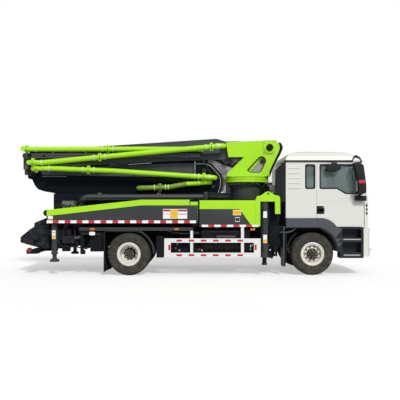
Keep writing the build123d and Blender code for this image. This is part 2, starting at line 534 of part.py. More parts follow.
def boom():
    """Turret, four arms with their delivery pipes, and the lift cylinder."""
    nodes = {}
    px, pz = LIFT_PIVOT
    cheek = side_plate([(909, 3509), (2255, 3566), (2342, 3473), (2372, 3357), (2342, 3256),
                        (2168, 2893), (2030, RING_TOP), (930, RING_TOP), (930, 2650), (1400, 3104),
                        (974, 3104)], -CHEEK_OUT, -CHEEK_IN)
    cheek -= side_plate([(1485, 2765), (1515, 2708), (1600, 2682), (1815, 2684), (1845, 2700),
                         (1885, 2750), (1995, 2985), (1985, 3055), (1930, 3118), (1850, 3125),
                         (1790, 3095)], -500, -300)
    turret = upright(SLEW_X, 0, PEDESTAL_TOP + 5, RING_TOP, RING_R)
    turret += both(cheek)
    turret += both(across(px, pz, -450, -CHEEK_IN, 150))
    turret += across(px, pz, -470, 470, 62)
    turret += across(CYLINDER_BASE[0], CYLINDER_BASE[1], -CHEEK_IN, CHEEK_IN, 45)
    turret += block(2060, 2090, -CHEEK_IN, CHEEK_IN, RING_TOP - 5, 2760)
    nodes["turret"] = turret

    root = ring_points(px, pz, 190, -90, 80, 6)
    beam = side_plate([(-4460, 3289), (657, 3624), (885, 3552)] + root[::-1]
                      + [(1000, 3053), (-618, 3007), (-1990, 2930), (-4323, 2800)],
                      -ARM_1_Y, ARM_1_Y)
    beam -= across(px, pz, -400, 400, 63)
    beam -= block(560, 2400, -125, 125, 2900, 3290)
    nodes["arm_1"] = beam

    lower = [(-4541, 2780), (-4524, 2582), (-4497, 2525), (-4409, 2508), (-4365, 2407),
             (-4321, 2320), (-4234, 2232), (-4059, 2174), (-3823, 2136), (-3700, 2117),
             (700, 2117), (760, 2289), (779, 2481), (100, 2535), (-1986, 2575), (-3437, 2600),
             (-4149, 2600), (-4200, 2780)]
    arm_2 = side_plate(lower, -ARM_2_Y, ARM_2_Y)
    arm_2 -= block(-4600, -4000, -ARM_3_Y - 10, ARM_3_Y + 10, 2587, 2900)
    arm_2 += across(-4330, 2725, -266, -ARM_2_Y, 70)
    nose = [(0, 2415), (779, 2481), (744, 2612), (643, 2727), (497, 2889), (350, 2946), (95, 2946)]
    arm_2 += both(side_plate(nose, -ARM_2_Y, -ARM_3_Y - 10))
    nodes["arm_2"] = arm_2

    inner = [(-4640, 2640), (-4490, 2620), (-3400, 2620), (-1900, 2600), (200, 2560), (560, 2600),
             (600, 2700), (400, 2960), (-500, 2960), (-1900, 2890), (-4150, 2745), (-4330, 2790),
             (-4640, 2790)]
    arm_3 = side_plate(inner, -ARM_3_Y, ARM_3_Y)
    arm_3 += side_plate([(-4640, 2780), (-4495, 2780), (-4495, 3230), (-4640, 3230)], -268, -100)
    nodes["arm_3"] = arm_3

    tx, tz = TIP_PIVOT
    thin = side_plate([(-4540, 3070), (-4540, 3200), (200, 3200), (200, 3110), (-3900, 3070)],
                      -440, -305)
    thin += across(tx, tz, -440, -305, 70)
    nodes["arm_4"] = thin

    # pipes fixed to arms 1, 2 and 3: bend radius, run of points
    runs = (
        (120, [(-4370, -270, 2953), (-4370, -550, 2953), (-4053, -550, 2940),
               (-604, -550, 3269), (850, -550, 3400), (850, -270, 3400)]),
        (120, [(-4330, -268, 2790), (-4330, -500, 2790), (-3838, -500, 2790),
               (-2182, -500, 2726), (-13, -500, 2581), (610, -500, 2540), (610, -240, 2540)]),
        (90, [(-1477, -240, 2262), (-1477, -400, 2262), (-658, -400, 2285),
              (-155, -400, 2375), (480, -400, 2430), (480, -240, 2430)]),
    )
    lines = None
    for bend, points in runs:
        line = pipe(points, PIPE_R, bend)
        lines = line if lines is None else lines + line
    nodes["boom_pipes"] = lines
    tip_line = pipe([(-4560, -530, 3325), (-4560, -372, 3325), (300, -372, 3325)], PIPE_R, 90)
    tip_line += bar((276, -372, 3325), (300, -372, 3325), END_FLANGE_R)
    tip_line -= bar((150, -372, 3325), (310, -372, 3325), PIPE_BORE)
    for x in (-4000, -2400, -800, 100):
        tip_line += block(x, x + 60, -400, -345, 3200, 3262)
    nodes["arm_4_pipe"] = tip_line

    bx, bz = CYLINDER_BASE
    ex, ez = CYLINDER_EYE
    reach = math.hypot(ex - bx, ez - bz)
    ux, uz = (ex - bx) / reach, (ez - bz) / reach
    barrel = bar((bx + 60 * ux, 0, bz + 60 * uz), (bx + 1090 * ux, 0, bz + 1090 * uz), 105)
    barrel += across(bx, bz, -85, 85, 95)
    barrel -= across(bx, bz, -90, 90, 46)
    barrel -= bar((bx + 130 * ux, 0, bz + 130 * uz), (bx + 1200 * ux, 0, bz + 1200 * uz), 64)
    nodes["lift_cylinder"] = barrel
    rod = bar((bx + 180 * ux, 0, bz + 180 * uz), (ex - 50 * ux, 0, ez - 50 * uz), 60)
    rod += across(ex, ez, -80, 80, 80)
    rod -= across(ex, ez, -90, 90, 46)
    nodes["lift_rod"] = rod
    return nodes


GROUPS = (chassis, wheels, low_gear, cab, doors, deck, stabilisers, boom)
for group in GROUPS:
    for node, solid in group().items():
        export_step(solid, f"parts/{node}.step")
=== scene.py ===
"""Looks of the concrete pump truck, dressed over its packed construction.

Sizes are millimetres in the part's own frame: X forwards, Y to the vehicle's left, Z up, with the
ground at Z 0. Shape turns them to metres when a piece is made. Right-hand pieces have negative Y.
"""

import logging
import math
from dataclasses import dataclass
from enum import Enum
from typing import Any, Callable, Iterable, Sequence

import bmesh
import bpy
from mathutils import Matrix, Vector


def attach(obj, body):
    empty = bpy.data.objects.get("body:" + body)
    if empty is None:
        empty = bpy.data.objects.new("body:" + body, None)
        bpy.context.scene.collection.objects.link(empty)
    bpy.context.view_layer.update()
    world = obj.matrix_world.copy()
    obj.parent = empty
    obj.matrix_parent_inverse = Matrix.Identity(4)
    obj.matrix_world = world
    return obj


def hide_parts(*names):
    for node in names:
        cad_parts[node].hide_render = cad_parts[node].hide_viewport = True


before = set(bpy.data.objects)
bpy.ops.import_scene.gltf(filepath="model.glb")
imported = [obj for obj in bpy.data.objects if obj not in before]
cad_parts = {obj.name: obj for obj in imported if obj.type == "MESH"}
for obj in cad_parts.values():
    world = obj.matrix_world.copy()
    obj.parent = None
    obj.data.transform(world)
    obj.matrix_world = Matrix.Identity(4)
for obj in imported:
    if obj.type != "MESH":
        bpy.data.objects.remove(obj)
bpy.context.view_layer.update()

LOG = logging.getLogger("pump_truck")
MM = 0.001
Point = tuple[float, float, float]
Flat = tuple[float, float]
Span = tuple[float, float]
Tree = bpy.types.NodeTree
Socket = bpy.types.NodeSocket

# Main places, the same as in the construction
FRONT_AXLE_X = 3080.0
REAR_AXLE_X = -1620.0
WHEEL_Z = 545.0
FRONT_WHEEL_Y = 1040.0
REAR_OUTER_Y = 1100.0
REAR_INNER_Y = 760.0
CAB_SIDE_Y = 1200.0
SLEW_X = 1502.0
LIFT_PIVOT = (2090.0, 3362.0)
TIP_PIVOT = (-4540.0, 3140.0)
REAR_JACK = (-3550.0, -1105.0)
FRONT_JACK = (1856.0, -1130.0)

# Colours that lie over others: dust thrown up from the road, and the film on old glass
ROAD_DUST = "#77736B"
GLASS_FILM = "#5E6C68"
# Period of Blender's wave texture at scale 1, in millimetres
WAVE_MM = 314.0


class Side(Enum):
    """Side of the vehicle, with the sign of its Y."""

    RIGHT = -1
    LEFT = 1

    @property
    def word(self) -> str:
        """Name of the side as the bodies and nodes use it."""
        return self.name.lower()


class Across(Enum):
    """Axis that an outline is carried along."""

    X = 0
    Y = 1
    Z = 2


def linear(hex_colour: str) -> tuple[float, float, float, float]:
    """Turn an sRGB hex colour, "#RRGGBB", into linear red, green, blue and an alpha of 1."""
    channels = [int(hex_colour[i:i + 2], 16) / 255 for i in (1, 3, 5)]
    red, green, blue = [c / 12.92 if c <= 0.04045 else ((c + 0.055) / 1.055) ** 2.4 for c in channels]
    return (red, green, blue, 1.0)


def feed(tree: Tree, node: bpy.types.Node, inputs: dict) -> None:
    """Give a node's inputs their plain values, or links from the sockets that feed them."""
    for key, value in inputs.items():
        if isinstance(value, Socket):
            tree.links.new(value, node.inputs[key])
        else:
            node.inputs[key].default_value = value


def add_node(tree: Tree, kind: str, inputs: dict | None = None, **settings: Any) -> bpy.types.Node:
    """Add a node with its settings, plain values and links.

    Args:
        tree: Tree that gets the node.
        kind: Blender's name of the node type.
        inputs: Socket name or number to a value, or to the socket that feeds it.
        settings: Properties of the node.

    Returns:
        The new node.
    """
    node = tree.nodes.new(kind)
    for key, value in settings.items():
        setattr(node, key, value)
    feed(tree, node, inputs or {})
    return node


def noise(tree: Tree, place: Socket, scale: float, detail: float = 2.0, roughness: float = 0.5) -> Socket:
    """Add a noise pattern, with its scale in turns to a metre."""
    return add_node(tree, "ShaderNodeTexNoise", {"Vector": place, "Scale": scale, "Detail": detail,
                                                 "Roughness": roughness}).outputs[0]


def mapped(tree: Tree, value: Socket, given: Span, made: Span) -> Socket:
    """Map a value from one range to another."""
    return add_node(tree, "ShaderNodeMapRange", {"Value": value, "From Min": given[0],
                                                 "From Max": given[1], "To Min": made[0],
                                                 "To Max": made[1]}).outputs[0]


def mixed(tree: Tree, share: Socket, first: str | Socket, second: str) -> Socket:
    """Mix a hex colour or a coloured socket with a hex colour."""
    base = first if isinstance(first, Socket) else linear(first)
    return add_node(tree, "ShaderNodeMix", {0: share, 6: base, 7: linear(second)},
                    data_type="RGBA").outputs[2]


def maths(tree: Tree, operation: str, first: Socket, second: Socket | float) -> Socket:
    """Work out a value from two others."""
    return add_node(tree, "ShaderNodeMath", {0: first, 1: second}, operation=operation).outputs[0]


def bump(tree: Tree, height: Socket, strength: float, depth_mm: float) -> Socket:
    """Turn a pattern into relief of a real depth."""
    return add_node(tree, "ShaderNodeBump", {"Height": height, "Strength": strength,
                                             "Distance": depth_mm * MM}).outputs[0]


@dataclass(frozen=True)
class Look:
    """What every finish has: a material that is made on first use.

    Attributes:
        name: Name of the material.
        colour: Main colour, sRGB hex.
    """

    name: str
    colour: str

    def material(self) -> bpy.types.Material:
        """Return the material, made on first use."""
        found = bpy.data.materials.get(self.name)
        if found:
            return found
        material = bpy.data.materials.new(self.name)
        material.use_nodes = True
        tree = material.node_tree
        place = add_node(tree, "ShaderNodeTexCoord").outputs["Object"]
        feed(tree, tree.nodes["Principled BSDF"], self.inputs(tree, place))
        return material

    def inputs(self, tree: Tree, place: Socket) -> dict:
        """Add the nodes of the look.

        Args:
            tree: Tree that gets them.
            place: Object coordinates in metres.

        Returns:
            What the shader's inputs get.
        """
        raise NotImplementedError


@dataclass(frozen=True)
class Finish(Look):
    """A solid surface: paint, rubber, plastic or metal, with the unevenness that shows on it.

    Attributes:
        shade: Colour of the patches that weathering and light mix in.
        roughness: Base roughness.
        metallic: 1 for bare metal.
        coat: Weight of a clear coat.
        patch_mm: Size of the patches.
        patches: Share of the shade in them.
        grain_mm: Spacing of the fine relief.
        relief_mm: Depth of that relief.
        dust: Share of road dust close to the ground.
        specular: Strength of the reflection of a coating; lower for chalked paint and rubber.
    """

    shade: str
    roughness: float = 0.45
    metallic: float = 0.0
    coat: float = 0.0
    patch_mm: float = 450.0
    patches: float = 0.35
    grain_mm: float = 3.0
    relief_mm: float = 0.15
    dust: float = 0.0
    specular: float = 0.5

    def inputs(self, tree: Tree, place: Socket) -> dict:
        """Add patches, dust that thins out with height, grain and their roughness."""
        patch = noise(tree, place, 1000 / self.patch_mm, 6.0, 0.6)
        colour = mixed(tree, mapped(tree, patch, (0.38, 0.72), (0, self.patches)), self.colour, self.shade)
        if self.dust:
            height = add_node(tree, "ShaderNodeSeparateXYZ", {0: place}).outputs["Z"]
            low = mapped(tree, height, (0.15, 1.5), (1.0, 0.12))
            spread = mapped(tree, noise(tree, place, 9.0, 8.0), (0.35, 0.7), (0, self.dust))
            colour = mixed(tree, maths(tree, "MULTIPLY", low, spread), colour, ROAD_DUST)
        gloss = (max(self.roughness - 0.08, 0.03), min(self.roughness + 0.10, 1.0))
        grain = noise(tree, place, 1000 / self.grain_mm, 3.0)
        return {"Base Color": colour, "Roughness": mapped(tree, patch, (0, 1), gloss),
                "Metallic": self.metallic, "Coat Weight": self.coat, "Coat Roughness": 0.08,
                "Specular IOR Level": self.specular, "Normal": bump(tree, grain, 0.6, self.relief_mm)}


@dataclass(frozen=True)
class Clear(Look):
    """A clear or coloured see-through surface, such as window glass or a lamp lens.

    Attributes:
        roughness: Roughness of its surface.
        rib_mm: Spacing of moulded ribs in a lens, or 0 for plain glass.
        depth: How far light passes through, from 0 to 1.
    """

    roughness: float = 0.02
    rib_mm: float = 0.0
    depth: float = 1.0

    def inputs(self, tree: Tree, place: Socket) -> dict:
        """Add a tinted dielectric with a faint film of dirt, or lens ribs."""
        film = mapped(tree, noise(tree, place, 2.2, 4.0), (0.35, 0.75), (0, 0.25))
        made = {"Base Color": mixed(tree, film, self.colour, GLASS_FILM), "IOR": 1.48,
                "Transmission Weight": self.depth, "Roughness": self.roughness}
        if self.rib_mm:
            ribs = add_node(tree, "ShaderNodeTexWave", {"Vector": place, "Scale": WAVE_MM / self.rib_mm},
                            bands_direction="Z")
            made["Normal"] = bump(tree, ribs.outputs["Fac"], 0.5, 1.5)
        return made


@dataclass(frozen=True)
class Woven(Look):
    """Flat woven seat cloth, whose thread crossings give a fine chequered relief.

    Attributes:
        weft: Colour of the threads across; the main colour is that of the warp.
        thread_mm: Spacing of the threads, drawn coarser than the real 1 mm so that it shows.
    """

    weft: str
    thread_mm: float = 4.0

    def inputs(self, tree: Tree, place: Socket) -> dict:
        """Add two wave patterns that cross, with sheen."""
        given = {"Vector": place, "Scale": WAVE_MM / self.thread_mm}
        over, under = (add_node(tree, "ShaderNodeTexWave", given, bands_direction=way).outputs["Fac"]
                       for way in ("Y", "DIAGONAL"))
        crossing = maths(tree, "MULTIPLY", over, under)
        return {"Base Color": mixed(tree, crossing, self.colour, self.weft), "Roughness": 0.9,
                "Sheen Weight": 0.3, "Normal": bump(tree, crossing, 0.6, 0.6)}


# Two-pack machine enamel, sprayed over welded steel: even colour, satin, slight orange peel
LIME_ENAMEL = Finish("lime_machine_enamel", "#ABE60A", "#9EDA0A", 0.36, coat=0.3, patches=0.5,
                     grain_mm=5.0, relief_mm=0.12)
GREY_ENAMEL = Finish("dark_grey_boom_enamel", "#484A50", "#3C3E44", 0.45, patches=0.6,
                     grain_mm=5.0, relief_mm=0.12, specular=0.35)
ARM_2_ENAMEL = Finish("near_black_boom_enamel", "#090E15", "#11171D", 0.5, patches=0.6,
                      grain_mm=5.0, relief_mm=0.12, specular=0.08)
ARM_3_ENAMEL = Finish("mid_grey_boom_enamel", "#4C4F56", "#40434A", 0.5, patches=0.6,
                      grain_mm=5.0, relief_mm=0.12, specular=0.3)
PANEL_GREY = Finish("dark_grey_panel_enamel", "#3C3F41", "#34373A", 0.5, patches=0.5, dust=0.06,
                    specular=0.2)
CHASSIS_ENAMEL = Finish("blue_black_chassis_enamel", "#0C1018", "#151920", 0.55, patches=0.6, dust=0.06,
                        specular=0.12)
TANK_BLACK = Finish("black_tank_enamel", "#0C0E13", "#181A1F", 0.5, patches=0.5, dust=0.06,
                    specular=0.12)
# The same enamel made darker: painted shade in grooves and round the boss plate, and painted shade with dust
# patches on the lower pipe
LIME_SHADE = Finish("lime_enamel_painted_shade", "#6FA800", "#628F08", 0.45)
LIME_DULL = Finish("dusty_lime_enamel", "#7F9E26", "#66861E", 0.55, patch_mm=120.0, patches=0.8)
HOPPER_ENAMEL = Finish("splashed_hopper_enamel", "#0A0D15", "#5A5E66", 0.65, patch_mm=42.0,
                       patches=0.42, relief_mm=0.4, dust=0.04, specular=0.1)
# Grey enamel with road dust, lighter than the panel's own grey: painted light where the boom shades it
GRID_GREY = Finish("dusty_grid_enamel", "#5E635D", "#4C504B", 0.7, patch_mm=60.0, dust=0.1, specular=0.1)
# Car paint under clear coat, and powder coat with its flatter sheen
CAB_ENAMEL = Finish("off_white_cab_enamel", "#E0E1DA", "#D7D8D0", 0.28, coat=0.6, patches=0.4,
                    patch_mm=900.0, grain_mm=6.0, relief_mm=0.06)
WHITE_POWDER = Finish("white_powder_coat", "#E8E9E7", "#DCDDDB", 0.45, patches=0.4, dust=0.10)
# Pale grey lines: sealer in panel seams, and painted shade along the door's pressed crease and under the
# cab's rear ribs
SEAM_AND_SHADE_LINE = Finish("seam_sealer_and_painted_shade", "#B9B9B4", "#A8A8A2", 0.6)
# Pale grey, lighter than the guard's own grey: painted light where the arms shade it
FAN_GREY = Finish("grey_guard_fabric", "#A9A6AC", "#8F8B92", 0.8, grain_mm=2.0, relief_mm=0.4)
# Injection-moulded plastic with a grained face, grey where the sun has chalked it
GRAINED_BLACK = Finish("grained_black_plastic", "#15171B", "#222428", 0.6, grain_mm=2.0,
                       relief_mm=0.3, dust=0.08, specular=0.3)
BUMPER_PLASTIC = Finish("blue_black_step_plastic", "#20262F", "#2A2F37", 0.5, grain_mm=3.0,
                        relief_mm=0.2, dust=0.1, specular=0.25)
WING_PLASTIC = Finish("grey_wing_plastic", "#4A4D54", "#3E4147", 0.45, grain_mm=2.5,
                      relief_mm=0.3, dust=0.1)
TRIM_PLASTIC = Finish("cab_trim_plastic", "#3B3C40", "#46474B", 0.6, grain_mm=2.0, relief_mm=0.25)
# Carbon-filled rubber, brownish on the tyres from road dust, with a cloth wrap on the hoses
TYRE_RUBBER = Finish("dusty_tyre_rubber", "#2C2A27", "#434039", 0.85, patch_mm=120.0, patches=0.8,
                     grain_mm=2.0, relief_mm=0.5, dust=0.3, specular=0.3)
BLACK_RUBBER = Finish("black_moulded_rubber", "#101113", "#1C1C1E", 0.7, grain_mm=1.5,
                      relief_mm=0.2, specular=0.25)
HOSE_RUBBER = Finish("wrapped_hose_rubber", "#17191C", "#2A2C31", 0.55, grain_mm=4.0, relief_mm=0.5,
                     specular=0.35)
# Silver wheel paint over rolled steel, warm with brake dust
RIM_PAINT = Finish("silver_wheel_paint", "#EFECE4", "#C4BBAD", 0.38, metallic=0.2, patch_mm=90.0,
                   patches=0.5, dust=0.12)
RIM_RING = Finish("pale_rim_flange_paint", "#E6E1D6", "#CBC2B2", 0.4, metallic=0.15, patch_mm=90.0,
                  patches=0.5, dust=0.12)
# Metal fittings: thin paint, plating or a rolled skin, uneven from handling
RING_STEEL = Finish("pale_coupling_paint", "#D6EBA8", "#B9CE92", 0.4, metallic=0.2, patch_mm=60.0,
                    patches=0.6)
CAST_IRON = Finish("painted_cast_iron", "#2A2826", "#403C37", 0.65, patch_mm=60.0, patches=0.8,
                   grain_mm=4.0, relief_mm=0.6, dust=0.2, specular=0.3)
DULL_STEEL = Finish("dull_pipe_steel", "#45474A", "#37393B", 0.5, metallic=0.2, patch_mm=120.0)
ZINC = Finish("zinc_plated_steel", "#DCE0D8", "#B4B8AE", 0.38, metallic=0.55, patch_mm=40.0)
CHROME = Finish("hard_chrome", "#D5D7DA", "#C2C4C8", 0.12, metallic=1.0, patches=0.3,
                grain_mm=1.0, relief_mm=0.02)
ALUMINIUM = Finish("rolled_aluminium", "#D3D4D6", "#B5B6B9", 0.35, metallic=0.9, patch_mm=80.0)
MIRROR_SILVER = Finish("mirror_silver", "#E4E8EA", "#DADEE0", 0.03, metallic=1.0, relief_mm=0.0)
# Glass-bead tape: retroreflective, so it looks bright and flat
TAPE_WHITE = Finish("white_bead_tape", "#F7F7F5", "#E6E6E3", 0.5, grain_mm=4.0, relief_mm=0.15)
TAPE_RED = Finish("red_bead_tape", "#C9283A", "#B41E2E", 0.5, grain_mm=4.0, relief_mm=0.15)
# Smooth printed vinyl, faded a little in patches
VINYL_WHITE = Finish("white_vinyl_plate", "#F2F2F0", "#E4E4E2", 0.4, relief_mm=0.05)
VINYL_YELLOW = Finish("yellow_vinyl_plate", "#F5BE2A", "#E8AE1E", 0.4, relief_mm=0.05)
VINYL_RED = Finish("red_vinyl_plate", "#BE3340", "#AC2934", 0.4, relief_mm=0.05)
VINYL_GREY = Finish("grey_vinyl_plate", "#A9ADAB", "#979B99", 0.4, relief_mm=0.05)
# Glass and lamp lenses
WINDOW_GLASS = Clear("tinted_window_glass", "#A6B6B4", depth=0.72)
LENS_CLEAR = Clear("clear_lamp_lens", "#F2F4F4", 0.05, rib_mm=14.0, depth=0.9)
LENS_RED = Clear("red_lamp_lens", "#B03A2A", 0.12, rib_mm=10.0, depth=0.35)
LENS_AMBER = Clear("amber_lamp_lens", "#E8A040", 0.12, rib_mm=8.0, depth=0.35)
SEAT_CLOTH = Woven("seat_cloth", "#34363C", "#4C4F57")


def arc(centre: Flat, radius: float, start: float, stop: float, count: int) -> list[Flat]:
    """Points on an arc between two angles in degrees, from the first axis towards the second."""
    angles = [math.radians(start + (stop - start) * i / (count - 1)) for i in range(count)]
    return [(centre[0] + radius * math.cos(a), centre[1] + radius * math.sin(a)) for a in angles]


def rounding(before: Vector, here: Vector, after: Vector, radius: float, steps: int) -> list[Vector]:
    """Points of the curve that rounds a corner, with a smaller radius where an edge is short."""
    back, ahead = before - here, after - here
    half = back.angle(ahead) / 2
    reach = min(radius / max(math.tan(half), 0.05), back.length * 0.45, ahead.length * 0.45)
    start, end = here + back.normalized() * reach, here + ahead.normalized() * reach
    shares = [k / (steps - 1) for k in range(steps)]
    return [(1 - t) ** 2 * start + 2 * t * (1 - t) * here + t * t * end for t in shares]


def softened(outline: Sequence[Flat], radius: float) -> list[Flat]:
    """Round the corners of a closed outline, with five points to a corner."""
    spots = [Vector(corner) for corner in outline]
    around = zip(spots[-1:] + spots[:-1], spots, spots[1:] + spots[:1])
    return [tuple(spot) for corner in around for spot in rounding(*corner, radius, 5)]


def bent(points: Sequence[Point], radius: float) -> list[Vector]:
    """Round the bends of a line in space, with six points to a bend."""
    spots = [Vector(point) for point in points]
    bends = zip(spots, spots[1:], spots[2:])
    return [spots[0], *(spot for bend in bends for spot in rounding(*bend, radius, 6)), spots[-1]]


def grown(outline: Sequence[Flat], by: float, closed: bool = True) -> list[Flat]:
    """Move an outline sideways, to the right of its direction.

    Args:
        outline: Points in order.
        by: Distance; negative moves to the left.
        closed: Whether the last point joins the first.

    Returns:
        As many points, moved along their corners' bisectors.
    """
    count = len(outline)
    moved = []
    for i, corner in enumerate(outline):
        here = Vector(corner)
        before = Vector(outline[i - 1]) if closed or i else here * 2 - Vector(outline[1])
        after = Vector(outline[(i + 1) % count]) if closed or i < count - 1 else here * 2 - before
        one, two = (here - before).normalized(), (after - here).normalized()
        normals = Vector((one.y, -one.x)), Vector((two.y, -two.x))
        middle = (normals[0] + normals[1]).normalized()
        moved.append(tuple(here + middle * by / max(middle.dot(normals[0]), 0.4)))
    return moved


def ribbon(line: Sequence[Flat], inner: float, outer: float) -> list[Flat]:
    """Outline of the strip between two distances to the right of an open line."""
    return grown(line, inner, False) + grown(line, outer, False)[::-1]


def oblong(x: Span, z: Span, radius: float = 0.0) -> list[Flat]:
    """Corners of an upright rectangle, rounded where a radius is given."""
    corners = [(x[0], z[0]), (x[1], z[0]), (x[1], z[1]), (x[0], z[1])]
    return softened(corners, radius) if radius else corners


def lifted(flat: Flat, depth: float, across: Across) -> Point:
    """Point in space of a point of an outline."""
    values = list(flat)
    values.insert(across.value, depth)
    return tuple(values)


def twice_area(outline: Sequence[Flat]) -> float:
    """Twice the area of an outline, above 0 where it runs anticlockwise."""
    return sum(a[0] * b[1] - b[0] * a[1] for a, b in zip(outline, [*outline[1:], outline[0]]))


def lattice(rows: int, columns: int, closed: bool = True) -> list[list[int]]:
    """Faces between neighbouring rows of points, whose rows are closed rings.

    Args:
        rows: Number of rows.
        columns: Points in a row.
        closed: Whether the last row joins the first.

    Returns:
        Point numbers of each face.
    """
    faces = []
    for row in range(rows if closed else rows - 1):
        here, ahead = row * columns, (row + 1) % rows * columns
        for i in range(columns):
            j = (i + 1) % columns
            faces.append([here + i, here + j, ahead + j, ahead + i])
    return faces


def spot_at(line: Sequence[Point], x: float) -> tuple[Vector, Vector]:
    """Point and direction of a line where it passes a value of X."""
    for start, end in zip(line, line[1:]):
        if min(start[0], end[0]) <= x <= max(start[0], end[0]) and start[0] != end[0]:
            one, two = Vector(start), Vector(end)
            return one.lerp(two, (x - one.x) / (two.x - one.x)), (two - one).normalized()
    raise ValueError(f"the line doesn't pass {x}")


class Repeat(Enum):
    """Ways in which a unit is repeated."""

    LINE = "line"
    RING = "ring"

    def tree(self) -> Tree:
        """Return the Geometry Nodes tree of this way, made on first use."""
        found = bpy.data.node_groups.get(f"repeat_{self.value}")
        return found if found else self._build()

    def _build(self) -> Tree:
        """Build a tree with the inputs Unit, Count, Step, Centre and Finish."""
        tree = bpy.data.node_groups.new(f"repeat_{self.value}", "GeometryNodeTree")
        for name, socket in (("Unit", "Geometry"), ("Count", "Int"), ("Step", "Vector"),
                             ("Centre", "Vector"), ("Finish", "Material")):
            tree.interface.new_socket(name, in_out="INPUT", socket_type=f"NodeSocket{socket}")
        tree.interface.new_socket("Geometry", in_out="OUTPUT", socket_type="NodeSocketGeometry")
        given = add_node(tree, "NodeGroupInput").outputs
        if self is Repeat.LINE:
            points = add_node(tree, "GeometryNodeMeshLine", {
                "Count": given["Count"], "Start Location": given["Centre"],
                "Offset": given["Step"]}, mode="OFFSET")
            turned = {}
        else:
            points = add_node(tree, "GeometryNodePoints", {"Count": given["Count"],
                                                           "Position": given["Centre"]})
            index = add_node(tree, "GeometryNodeInputIndex")
            turn = add_node(tree, "ShaderNodeVectorMath", {0: given["Step"], "Scale": index.outputs[0]},
                            operation="SCALE")
            turned = {"Rotation": turn.outputs[0]}
        placed = add_node(tree, "GeometryNodeInstanceOnPoints", {
            "Points": points.outputs[0], "Instance": given["Unit"], **turned})
        real = add_node(tree, "GeometryNodeRealizeInstances", {0: placed.outputs[0]})
        dressed = add_node(tree, "GeometryNodeSetMaterial", {"Geometry": real.outputs[0],
                                                             "Material": given["Finish"]})
        add_node(tree, "NodeGroupOutput", {0: dressed.outputs[0]})
        return tree


